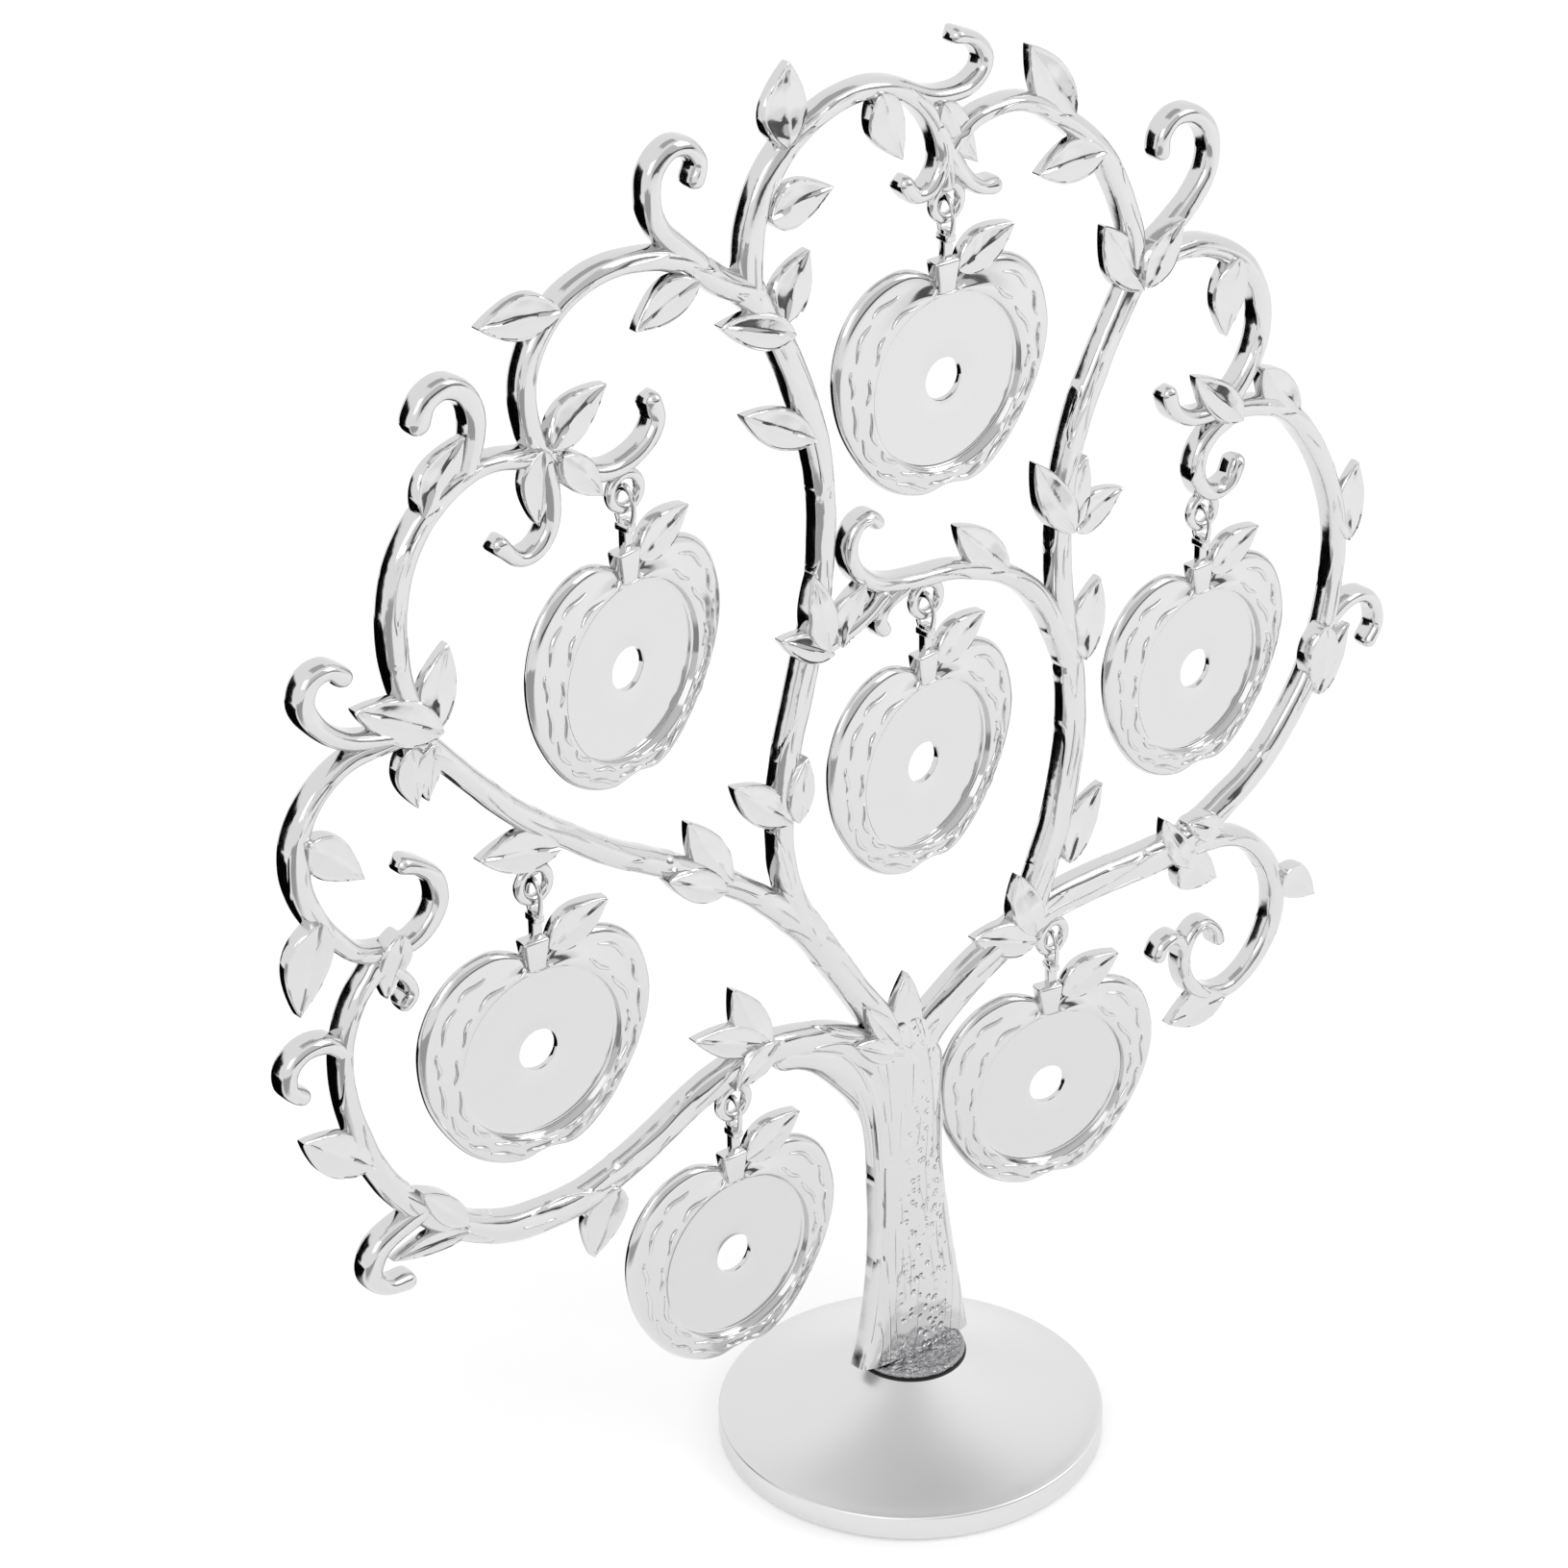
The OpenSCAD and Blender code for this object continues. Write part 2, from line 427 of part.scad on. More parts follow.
// How far the block stands proud of the plate, front and back together
block_proud = 1.8;
block_depth = plate_t + block_proud;
block_slot = 3;
slot_gap = 0.1;
loop_in = eye_wire_d / 2 + loop_gap;
loop_out = loop_in + strap_t / 2;
hole_drop = loop_out + strap_free + block_top;
apple_leaf = [[2.5, 23.5], [17, 30], 8.6];
apple_leaf_t = 2;

// Puts a shape drawn round the pivot at a pendant's eye, turned as the pendant hangs
module hung(i)
    translate(pivot(i))
        rotate([0, 0, PENDANTS[i][3]])
            children();

module apple(i)
    color("gainsboro")
        hung(i)
            difference() {
                translate([-strap_off, 0, -hole_drop]) {
                    upright(plate_t / 2, plate_t)
                        polygon(ka * ring_curve(apple_line));
                    translate([-block_left, -block_depth / 2, block_foot])
                        cube([block_left + block_right, block_depth, block_top - block_foot]);
                    upright(apple_leaf_t / 2, apple_leaf_t)
                        polygon(leaf_outline(ka * apple_leaf[0], ka * apple_leaf[1], apple_leaf[2]));
                }
                translate([-strap_off, -plate_t / 2 + recess_depth, -hole_drop])
                    rotate([90, 0, 0])
                        cylinder(h = block_depth, d = recess_d, $fn = 96);
                translate([-strap_off, plate_t, -hole_drop])
                    rotate([90, 0, 0])
                        cylinder(h = 2 * plate_t, d = push_hole_d);
                translate([-strap_w / 2 - slot_gap, -strap_t / 2 - slot_gap,
                    block_top - hole_drop - block_slot])
                    cube([strap_w + 2 * slot_gap, strap_t + 2 * slot_gap, block_slot + 1]);
            }

module hanger(i)
    color("gainsboro")
        hung(i)
            difference() {
                union() {
                    rotate([0, 90, 0])
                        cylinder(h = strap_w, r = loop_out, center = true);
                    translate([-strap_w / 2, -strap_t / 2, -loop_out - strap_free - block_slot])
                        cube([strap_w, strap_t, loop_out + strap_free + block_slot]);
                }
                rotate([0, 90, 0])
                    cylinder(h = strap_w + 2, r = loop_in, center = true);
            }

base();
felt_pad();
screw();
trunk();
cast_piece("bough_low_left");  // bough_low_left
cast_piece("bough_mid_left");  // bough_mid_left
cast_piece("bough_right");  // bough_right
cast_piece("branch_left");  // branch_left
cast_piece("branch_right");  // branch_right
cast_piece("branch_far_right");  // branch_far_right
cast_piece("loop_low_right");  // loop_low_right
cast_piece("arch_top_left");  // arch_top_left
cast_piece("arch_up_left");  // arch_up_left
cast_piece("arch_left");  // arch_left
cast_piece("loop_left");  // loop_left
cast_piece("arch_top_right");  // arch_top_right
cast_piece("arch_right");  // arch_right
cast_piece("hook_right");  // hook_right
cast_piece("arch_centre");  // arch_centre
apple(0);  // apple_1
apple(1);  // apple_2
apple(2);  // apple_3
apple(3);  // apple_4
apple(4);  // apple_5
apple(5);  // apple_6
apple(6);  // apple_7
hanger(0);  // hanger_1
hanger(1);  // hanger_2
hanger(2);  // hanger_3
hanger(3);  // hanger_4
hanger(4);  // hanger_5
hanger(5);  // hanger_6
hanger(6);  // hanger_7
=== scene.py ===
"""Photo tree stand: a cast nickel plated tree on a satin base, with seven apple photo pendants."""
import json
import math

import bpy
import numpy as np
from mathutils import Matrix, Vector, noise


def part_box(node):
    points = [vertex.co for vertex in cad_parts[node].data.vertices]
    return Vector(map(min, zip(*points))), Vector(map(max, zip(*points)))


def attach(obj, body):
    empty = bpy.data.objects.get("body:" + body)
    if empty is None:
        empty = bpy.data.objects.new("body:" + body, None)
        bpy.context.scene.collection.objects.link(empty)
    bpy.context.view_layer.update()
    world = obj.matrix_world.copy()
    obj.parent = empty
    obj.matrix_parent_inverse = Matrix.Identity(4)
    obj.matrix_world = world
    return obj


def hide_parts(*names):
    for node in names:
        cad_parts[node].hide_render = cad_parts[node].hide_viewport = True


bl_info = {
    "name": "Photo Tree Stand",
    "version": (1, 0, 0),
    "blender": (4, 5, 0),
    "location": "View3D > Sidebar > Photo Tree",
    "description": "Models a cast photo tree with apple shaped pendants around its CAD frame",
    "category": "Object",
}

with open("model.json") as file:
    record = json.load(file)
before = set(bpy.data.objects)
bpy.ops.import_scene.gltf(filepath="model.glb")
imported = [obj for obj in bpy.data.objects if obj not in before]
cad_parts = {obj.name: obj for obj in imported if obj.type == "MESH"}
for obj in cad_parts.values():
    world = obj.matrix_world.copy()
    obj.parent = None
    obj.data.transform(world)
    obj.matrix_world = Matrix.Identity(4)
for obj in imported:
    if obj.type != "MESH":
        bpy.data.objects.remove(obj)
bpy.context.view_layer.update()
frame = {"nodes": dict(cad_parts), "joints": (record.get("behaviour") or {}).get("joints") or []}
MM = 0.001
STAND = "stand"

# Heights in mm: the tree's foot stands on the base's disc, a little above where it is drawn
TREE_FOOT = 22.2
TREE_TOP = 333.0
DRAWN_FOOT = 22.0
BASE_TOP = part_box("base")[1].z / MM
BASE_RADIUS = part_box("base")[1].x / MM

# The middle line of the trunk as (x, z, width) in mm, as drawn for the CAD tree
TRUNK_LINE = [
    (0, 22, 32), (0.3, 28, 29), (0.3, 37, 25.6), (0, 46, 22.8), (-0.6, 57, 20.4), (-1.6, 70, 18.9),
    (-2.1, 84, 19.2), (-3.2, 95, 22.5), (-4.2, 101, 15)]
# Each cast piece of the tree: the middle lines of its limbs, drawn the same way, and its
# leaves, each as its foot, its tip and its width
CAST_PIECES = {
    "bough_low_left": ({
        "bough": [
            (-9, 101, 10), (-20, 109.5, 8.6), (-30, 113.8, 7.6), (-40, 116, 7.2), (-50, 115, 7),
            (-60, 112.3, 6.8), (-75, 105.5, 6.8), (-90, 101, 7), (-105, 101.3, 7),
            (-115, 104.3, 6.6), (-125, 110.5, 6.2), (-135, 120.5, 5.8), (-141, 130, 5.4),
            (-144.7, 140, 4.8), (-147, 150, 4.4), (-147, 160, 4.2), (-143.5, 169.5, 4.2),
            (-138, 175, 4.2)],
        "foot_curl": [
            (-131, 115.5, 4.6), (-137, 113.8, 5), (-141.5, 111.5, 5.2), (-143.7, 107.5, 5),
            (-143, 104, 4.4), (-140, 101.6, 3.8), (-135.5, 101, 3.2)],
        "side_curl": [
            (-147, 159.5, 3.8), (-151, 162.8, 4), (-156, 163.2, 4.2), (-159.7, 160.5, 4.2),
            (-160.2, 156.5, 3.6), (-157.6, 153.8, 3)],
    }, [
        ((-42, 119), (-61, 127), 7.4), ((-42, 118), (-50.5, 135.3), 8.2),
        ((-40, 119.5), (-52, 112.2), 6.6), ((-83, 101.5), (-89, 86), 10.5),
        ((-121.5, 109.5), (-132.5, 121.8), 5.6), ((-121, 107.5), (-139, 107.5), 5),
        ((-143.5, 132.5), (-158.4, 143.5), 9), ((-5, 102), (-19, 109.6), 6)]),
    "bough_mid_left": ({
        "bough": [
            (-4.5, 101, 8.6), (-10, 111.5, 7.6), (-15.4, 120, 7), (-21.7, 130, 7),
            (-28, 139.5, 7.2), (-34, 146, 7), (-40, 151.8, 6), (-47, 157.8, 5.6),
            (-60, 166.5, 5.6), (-70, 172.6, 5.6), (-80, 178.3, 5.6), (-90, 185.6, 5.4),
            (-102, 195, 5.4), (-110, 203, 5.2), (-118, 212, 5), (-126, 221.5, 4.8)],
        "up_curl": [
            (-126, 222, 3.8), (-134, 223.4, 3.8), (-142, 225.7, 4), (-148, 230.5, 4.4),
            (-151, 236, 4.8), (-149.5, 240.5, 4.6), (-145.5, 241.6, 4), (-142, 239.3, 3.4)],
        "eye_tab": [
            (-98, 190, 4.4), (-99.2, 182.4, 3.6)],
    }, [
        ((-121.5, 221.5), (-140.3, 231.6), 9), ((-123, 222), (-118, 238.5), 8.6),
        ((-129, 220.5), (-127, 206.2), 6.8), ((-123.5, 219.5), (-124.5, 206.8), 6),
        ((-51.5, 162), (-61.3, 178.8), 8), ((-53, 160.6), (-68.3, 168.8), 7),
        ((-94.5, 186), (-113.3, 189.4), 9), ((-6, 104), (-16, 118), 5),
        ((-3, 102.5), (-2.2, 120.3), 8.4)]),
    "bough_right": ({
        "bough": [
            (-4, 94, 12), (3, 102.3, 10.5), (10, 107.8, 9.6), (17, 112, 9.2), (25, 115.6, 9),
            (33, 118.6, 8.8), (42, 120.5, 8.6), (52, 121, 8.6), (62, 120.8, 8.4), (72, 120.6, 8.4),
            (80, 120.8, 8), (87, 122.4, 7.4)],
    }, [
        ((33.5, 115), (16.8, 121.2), 8), ((33, 117), (29.8, 132.3), 8),
        ((79.5, 116.5), (73.6, 130), 5.8), ((90.6, 122), (80.3, 126.5), 6.4),
        ((77.5, 117.5), (90.9, 108.6), 10)]),
    "branch_left": ({
        "branch": [
            (-27, 139, 6.8), (-31, 145.5, 6.4), (-33.8, 152, 6), (-35.3, 159, 5.6),
            (-36, 166, 5.4), (-35.5, 175, 5.6), (-33.8, 185, 5.8), (-31, 195, 6), (-28.2, 205, 6),
            (-26, 213, 5.6), (-24.8, 220, 5.2), (-24, 229, 5.2), (-24, 240, 5.4), (-25.4, 250, 6),
            (-28.2, 260, 6.2), (-31.8, 270, 6.2), (-35.3, 277.5, 6.2), (-39, 283.5, 6.2),
            (-42.5, 289, 6)],
    }, [
        ((-35.5, 169.8), (-49.2, 182.3), 8), ((-34, 169.5), (-31.3, 184), 6.4),
        ((-28, 253.5), (-45, 263.2), 8), ((-33, 277.8), (-50.3, 283.6), 7.4),
        ((-35.5, 280.5), (-27.7, 293.6), 9.6), ((-24, 205), (-36.3, 211.3), 6),
        ((-25.5, 206), (-28, 223.8), 7), ((-36, 153), (-39.2, 168), 3.6)]),
    "branch_right": ({
        "branch": [
            (34, 119, 7.2), (35.5, 124, 7.6), (38.5, 132, 7.4), (41.8, 140, 7.2), (44, 149, 7),
            (45.8, 160, 6.8), (45.9, 170, 6.6), (44.8, 181, 6.4), (42.8, 190, 6), (41.7, 199, 5.6),
            (41.4, 208, 5.4), (41.8, 217, 5.4), (43.2, 226, 5.8), (46.2, 235.5, 6), (50, 243.5, 6),
            (54.3, 251, 6), (58.3, 257.5, 6), (62, 263.5, 6)],
    }, [
        ((43, 131), (54.3, 146.4), 9), ((46.8, 179.5), (52.4, 197), 9.4),
        ((42.5, 211), (33.2, 229.3), 8), ((43.5, 211), (48, 226.5), 7.2),
        ((43.5, 211), (58.8, 215.8), 8.4), ((61.5, 260.5), (51.5, 277), 9)]),
    "branch_far_right": ({
        "branch": [
            (89.5, 224, 4.6), (97, 222.8, 4.6), (104.5, 220.6, 4.8), (111, 216, 5),
            (116, 209.8, 5), (120, 203, 5), (123, 196, 5), (125.1, 189, 5), (126, 181, 4.8),
            (125.5, 172, 4.8), (123.6, 162.5, 5), (120.4, 153.5, 5.6), (115.5, 145, 6),
            (108.3, 136.2, 6.2), (100.5, 130.2, 6.4), (93, 126.2, 6.8), (84, 122, 7.2)],
        "curl": [
            (123.5, 161.5, 4), (129.5, 165.2, 3.8), (135, 165.2, 3.6), (139, 161.8, 3.4),
            (140.1, 156.8, 3.2), (137.8, 152.8, 2.8)],
    }, [
        ((109.8, 218.5), (98.3, 232), 8.4), ((127.3, 182), (131, 199.8), 8.8),
        ((121, 163), (120.2, 145.4), 8.8), ((119.5, 146), (130.6, 159.8), 9)]),
    "loop_low_right": ({
        "loop": [
            (84, 119.6, 5.6), (93, 118, 5), (100, 115, 4.8), (106, 109, 4.8), (110, 101.5, 4.8),
            (110.8, 93.5, 4.8), (108.5, 86.5, 4.6), (103.5, 80.5, 4.4), (97, 77.4, 4.2),
            (90.5, 78.3, 4), (85, 82, 3.8), (82, 87, 3.6), (81.6, 92.5, 3.4), (84.2, 96.8, 3.2),
            (88, 97.5, 3.2), (91.3, 94.9, 3), (92.3, 92, 2.6)],
        "curl": [
            (81.8, 90, 3.2), (80.6, 95.2, 3.2), (77.8, 97.7, 3.2), (74.7, 97, 3),
            (73.4, 94.5, 2.6)],
    }, [
        ((111.5, 102.5), (123.4, 92), 8.2), ((93, 77), (76.8, 75.4), 9.4)]),
    "arch_top_left": ({
        "arch": [
            (-42, 288.5, 5.4), (-42, 295, 6), (-41, 302, 6), (-38, 309, 6), (-33.5, 314.5, 5.6),
            (-28, 318.3, 5), (-21, 321.2, 4.6), (-14, 322.3, 4.4), (-7, 321.5, 4.4),
            (-1, 318.5, 4.6), (4, 313.6, 4.6), (7, 307.5, 4.4), (7.4, 302, 4.2), (4.6, 297.8, 3.8),
            (0.5, 297, 3.6), (-2.3, 300, 3)],
        "curl": [
            (-2, 319.5, 4), (4, 316.8, 3.8), (9, 316, 3.8), (14, 316.3, 3.8), (17.8, 318.8, 3.6),
            (18.4, 322.3, 3.4), (15.6, 325.8, 3.2), (11, 327.6, 2.8)],
        "fleur": [
            (6, 310, 4), (9.5, 303, 4.6), (13.2, 298, 4), (17, 294.8, 3.6), (21, 293.8, 3.2)],
        "fleur_stem": [
            (7.5, 306, 4), (8.2, 301, 3.6), (8.2, 297.6, 3)],
    }, [
        ((-34.2, 316.3), (-32.2, 333), 10.6), ((-38.5, 303), (-21.3, 304.8), 9.4),
        ((-10.6, 321.4), (-3.6, 305.8), 8.6)]),
    "arch_up_left": ({
        "arch": [
            (-41, 288, 6), (-48, 291.7, 6), (-54, 296.3, 5.8), (-60, 299.8, 5.2), (-67, 302, 4.8),
            (-75, 302.8, 4.6), (-82, 301.8, 4.8), (-89, 298.3, 5), (-94, 292.8, 5),
            (-96.8, 286, 4.8), (-96.8, 279, 4.6), (-95, 272.5, 4.6), (-92, 268, 4.6)],
        "curl": [
            (-55, 298, 5), (-60, 303, 4.8), (-64, 307.5, 4.4), (-66, 313, 4.4), (-65.3, 319, 4.4),
            (-61.5, 322.5, 4.2), (-57, 322, 4), (-54.3, 318.5, 3.6), (-55.2, 315, 3)],
        "right_curl": [
            (-92, 269.5, 4.6), (-86, 264.6, 4.4), (-80, 262, 4.4), (-74, 262.2, 4.2),
            (-68.7, 264.8, 4.2), (-66, 269, 4), (-67, 273, 3.2)],
        "left_curl": [
            (-93, 268, 4.2), (-92, 261, 4), (-92.4, 255, 3.8), (-95.6, 250.8, 3.8),
            (-100.3, 250.2, 3.6), (-104.6, 254.3, 3.2)],
    }, [
        ((-89.5, 298.5), (-107.8, 299.6), 8.8), ((-56.5, 295.5), (-71, 288.6), 8.4),
        ((-93, 271.5), (-78.3, 280.2), 9.2), ((-95, 272), (-95.6, 255.8), 7.6),
        ((-91, 269.5), (-80.4, 257.6), 6.6)]),
    "arch_left": ({
        "arch": [
            (-125, 222.5, 4.8), (-128.5, 233, 5), (-129.6, 241, 5.6), (-129.3, 249, 5.8),
            (-127.3, 256.5, 5.8), (-123.5, 263, 5.4), (-118, 268, 5), (-112, 271, 4.6),
            (-106, 271.8, 4.2), (-99, 270.6, 4.2), (-94, 269.8, 4.2)],
        "curl": [
            (-111.5, 271.5, 4.2), (-109.3, 278, 4.4), (-109.2, 283.5, 4.6), (-111.5, 288, 4.8),
            (-116, 290, 4.8), (-120, 288.4, 4.6), (-121.8, 284.8, 4)],
    }, [
        ((-123.5, 267), (-111.8, 279.3), 8.6)]),
    "loop_left": ({
        "loop": [
            (-134, 177.4, 4.2), (-141.5, 179.3, 4), (-146.5, 183.8, 4.2), (-151, 190, 4.8),
            (-154, 197, 5.2), (-155, 204, 5.4), (-153.7, 210.5, 5), (-150, 216, 4.4),
            (-144.5, 220, 4), (-138, 221.8, 3.8), (-126, 222, 3.8)],
        "curl": [
            (-136, 177.6, 4), (-130, 177.3, 4), (-125.8, 179.5, 4.2), (-122.9, 184, 4.2),
            (-123.5, 189.3, 4), (-127, 193, 3.6), (-130.6, 194.8, 3)],
        "bud": [
            (-135, 174, 3), (-131.4, 169.8, 2.8), (-130.4, 166.4, 2.8), (-132.2, 164.6, 2.6)],
    }, [
        ((-153.5, 208.5), (-140.2, 195.7), 8.4), ((-151.8, 191), (-157, 171.5), 10.4),
        ((-133.8, 182), (-136.8, 167.6), 7)]),
    "arch_top_right": ({
        "arch": [
            (8.5, 304, 4), (15.5, 308.8, 4), (22, 310, 3.8), (28, 309.6, 4), (34, 307.2, 4.4),
            (40, 303.3, 4.8), (46, 298.5, 5), (51, 293, 5.2), (54.8, 287, 5.2), (58, 280, 5.2),
            (60.5, 273, 5.2), (61.5, 266, 5.2)],
    }, [
        ((5.5, 315.5), (16.2, 300.2), 7.4), ((41.2, 304), (30, 321.3), 9),
        ((50, 293.8), (32.8, 293), 9.2)]),
    "arch_right": ({
        "arch": [
            (61.2, 262.9, 5.6), (67, 264.6, 5.4), (73, 265.5, 5.2), (80, 264.6, 5.2),
            (87, 261.8, 5.2), (93, 257.5, 5.2), (97.3, 251.5, 5), (99.2, 245, 5), (98.5, 238, 5),
            (95.5, 232, 4.8), (91, 227, 4.6)],
        "curl": [
            (64, 267, 4.6), (71, 271, 4.6), (77, 275.3, 4.6), (81.3, 280.6, 4.4),
            (82.4, 286.5, 4.4), (80.6, 291.5, 4.2), (76.5, 294.9, 4.2), (71.5, 295.2, 4),
            (68.2, 292.4, 3.8), (67.8, 288.9, 3.2)],
    }, [
        ((62, 261), (72.4, 273.8), 8.4), ((89.5, 260), (88, 242), 9.4)]),
    "hook_right": ({
        "hook": [
            (92, 222.8, 4.2), (86, 220.6, 4.4), (82, 217, 4.4), (80.9, 212.5, 4.4),
            (82.6, 208.3, 4.2), (86.5, 205.9, 4), (91, 207, 3.8), (93.2, 210.6, 3.4)],
        "curl": [
            (92, 225.5, 4), (85, 225, 4), (78.5, 225.8, 4), (73.6, 229, 3.8), (72, 233, 3.2)],
    }, [
        ((92, 222), (79.3, 235.2), 7.4)]),
    "arch_centre": ({
        "arch": [
            (44.5, 180, 6), (40.5, 189, 5.6), (36, 196.5, 5.2), (31, 202, 5), (25, 206.3, 4.8),
            (18, 209.3, 4.4), (10, 211.8, 4.2), (2, 212.7, 4.2), (-5, 213.8, 4), (-11.5, 216.3, 4),
            (-16, 220.7, 3.8), (-17.3, 225.7, 3.6), (-15.6, 229.8, 3.2), (-12.3, 231, 3),
            (-10.2, 229.5, 2.6)],
        "spur": [
            (-3, 212.3, 3.4), (-8, 210, 3.4), (-9.6, 207, 3.2), (-8.6, 204.6, 2.8)],
        "tie": [
            (-27, 205, 4), (-15, 208.5, 4), (-9, 212, 3.6)],
    }, [
        ((24.5, 208), (11.2, 221.8), 8), ((-21.5, 205.5), (-14.6, 217.8), 7.4)]),
}
# Where the trunk's left side flows into the low left bough: a sweep like a limb's
TRUNK_ARCH = [(-6.0, 60, 4), (-6.6, 70, 5.4), (-7.2, 78, 6.4), (-9.6, 87, 7.2), (-13.4, 94, 7.8),
              (-19.2, 101.4, 7.8), (-27, 108.4, 6.6), (-36, 112.6, 5)]
# Fine ribs that stand on the trunk's front: their line in X and Z, and their width
TRUNK_RIBS = [
    ([(-33, 111), (-25.5, 107), (-20, 101.5), (-16.4, 94.5), (-14.2, 86), (-13.2, 76)], 1.3),
    ([(-29, 112.6), (-22, 108.4), (-16.2, 101), (-13, 92), (-11.6, 82), (-11, 70), (-11, 58)], 1),
    ([(-11.6, 101), (-9.6, 95), (-8.8, 89)], 1.1), ([(-9.4, 90), (-8.4, 83), (-8, 77)], 1.0),
    ([(-4.6, 97), (-4.4, 88), (-4.3, 80)], 0.7), ([(-9.6, 74), (-9.4, 62), (-9.8, 50)], 0.9),
    ([(-6.9, 58), (-6.8, 50), (-7.0, 43)], 0.7), ([(3.4, 88), (3.9, 80), (4.0, 72)], 0.7),
    ([(6.4, 84), (6.2, 74), (6.6, 66)], 0.8), ([(7.4, 58), (8.6, 48), (9.6, 40)], 0.8),
    ([(-11.6, 50), (-12.6, 40), (-14, 30)], 1.1), ([(-4.2, 48), (-4.4, 42), (-4.4, 37)], 0.6),
]
# The cast piece that carries the eye of each pendant, in the order of the hinges
EYE_CARRIERS = ("arch_top_left", "arch_up_left", "arch_centre", "hook_right", "bough_mid_left",
                "bough_low_left", "bough_right")

# Sections of a limb, of a tab that a leaf hides and of the trunk, in mm along Y: a flat back,
# short upright sides up to a shoulder and a domed front
LIMB_SECTION = {"back": 2.2, "shoulder": 0.4, "front": -3.0}
TAB_SECTION = {"back": 2.2, "shoulder": 0.4, "front": -1.2}
TRUNK_SECTION = {"back": 2.9, "shoulder": -0.4, "front": -3.7}
DOME_POINTS = 23
STATION_STEP = 0.75
# A leaf stands this far in front of a limb that it lies over, looked up at these shares along it
LEAF_LIFT = 2.2
LEAF_SHARES = (0.0, 0.35, 0.7, 1.0)

# The apple, in mm round the centre of its push-out hole
APPLE_OUTLINE = [
    (0, 20.5), (-4.5, 24), (-11, 26), (-19, 23.6), (-25.3, 17), (-28, 7.5), (-26.4, -4),
    (-20.8, -14.5), (-14, -21.2), (-6, -24.5), (1, -23.7), (7.5, -24.5), (13.5, -21.3),
    (19.6, -14.5), (25.3, -4.5), (27.6, 5.5), (25.3, 15.6), (20, 21.6), (13, 24), (5, 23),
]
PLATE_FRONT = -1.6
PLATE_BACK = 1.6
RECESS_FLOOR = 0.1
RECESS_RADIUS = 19.0
PUSH_RADIUS = 4.5
APPLE_LEAF = {"foot": (2.5, 23.5), "tip": (17, 30), "width": 8.6}
HOLE_DROP = 34.9
STRAP_OFFSET = 0.3
BLOCK_LOW, BLOCK_HIGH = 19.6, 26.6

# The eye and the hanger's loop, in mm
EYE_RADIUS = 3.6
EYE_WIRE = 1.2
LOOP_RADIUS = 2.4
LOOP_WIRE = 0.5

# Light that the world gives, and what the floor adds to its own light to be seen as white
WORLD_LIGHT = 0.85
FLOOR_GLOW = 0.24

# The camera that fits the photograph: angles in degrees, lengths in mm
CAMERA_AZIMUTH = -39.86
CAMERA_ELEVATION = 28.59
CAMERA_ROLL = -0.80
CAMERA_TARGET = (-34.6, 0.0, 177.5)
CAMERA_DISTANCE = 986.2
CAMERA_LENS = 110.67
CAMERA_SENSOR = 36.0


def linear(shade):
    """An sRGB hex colour as linear RGBA."""
    channels = [int(shade[i:i + 2], 16) / 255 for i in (0, 2, 4)]
    return tuple(c / 12.92 if c <= 0.04045 else ((c + 0.055) / 1.055) ** 2.4
                 for c in channels) + (1.0,)


class PhotoTreeRelief(bpy.types.PropertyGroup):
    """Relief that the casting carries"""
    bark_depth: bpy.props.FloatProperty(
        name="Bark depth", description="Depth of the grooves along the boughs, in mm",
        default=0.30, min=0.0, max=0.8)
    groove_length: bpy.props.FloatProperty(
        name="Groove length", description="Length of one bark ridge, in mm", default=13.0,
        min=2.0, max=40.0)
    midrib_height: bpy.props.FloatProperty(
        name="Midrib height", description="Height of a leaf's midrib, in mm", default=0.32,
        min=0.0, max=1.5)
    dash_height: bpy.props.FloatProperty(
        name="Dash height", description="Height of the raised dashes on an apple, in mm",
        default=0.60, min=0.0, max=1.0)


class PhotoTreeFinish(bpy.types.PropertyGroup):
    """Colour and gloss of the metal"""
    plate_colour: bpy.props.FloatVectorProperty(
        name="Plate colour", description="Colour of the polished nickel plate", size=4,
        subtype="COLOR", default=linear("D8D8D8"), min=0.0, max=1.0)
    plate_roughness: bpy.props.FloatProperty(
        name="Plate roughness", description="Roughness of the polished nickel plate",
        default=0.10, min=0.0, max=1.0, subtype="FACTOR")
    back_roughness: bpy.props.FloatProperty(
        name="Back roughness", description="Roughness of the plate on the unpolished backs",
        default=0.45, min=0.0, max=1.0, subtype="FACTOR")
    base_colour: bpy.props.FloatVectorProperty(
        name="Base colour", description="Colour of the satin base", size=4, subtype="COLOR",
        default=linear("E3E3E3"), min=0.0, max=1.0)
    base_roughness: bpy.props.FloatProperty(
        name="Base roughness", description="Roughness of the satin base", default=0.32,
        min=0.0, max=1.0, subtype="FACTOR")


def add_node(tree, kind, inputs=None, **settings):
    """A shader node with its settings. An input given as a socket is linked, and one given as a
    node is linked to that node's first output."""
    made = tree.nodes.new("ShaderNode" + kind)
    for key, value in settings.items():
        setattr(made, key, value)
    for key, value in (inputs or {}).items():
        if isinstance(value, bpy.types.Node):
            value = value.outputs[0]
        if isinstance(value, bpy.types.NodeSocket):
            tree.links.new(value, made.inputs[key])
        else:
            made.inputs[key].default_value = value
    return made


def empty_material(name):
    """A material, its node tree and the coordinates that its patterns read."""
    material = bpy.data.materials.new(name)
    material.use_nodes = True
    tree = material.node_tree
    tree.nodes.clear()
    return material, tree, add_node(tree, "TexCoord").outputs


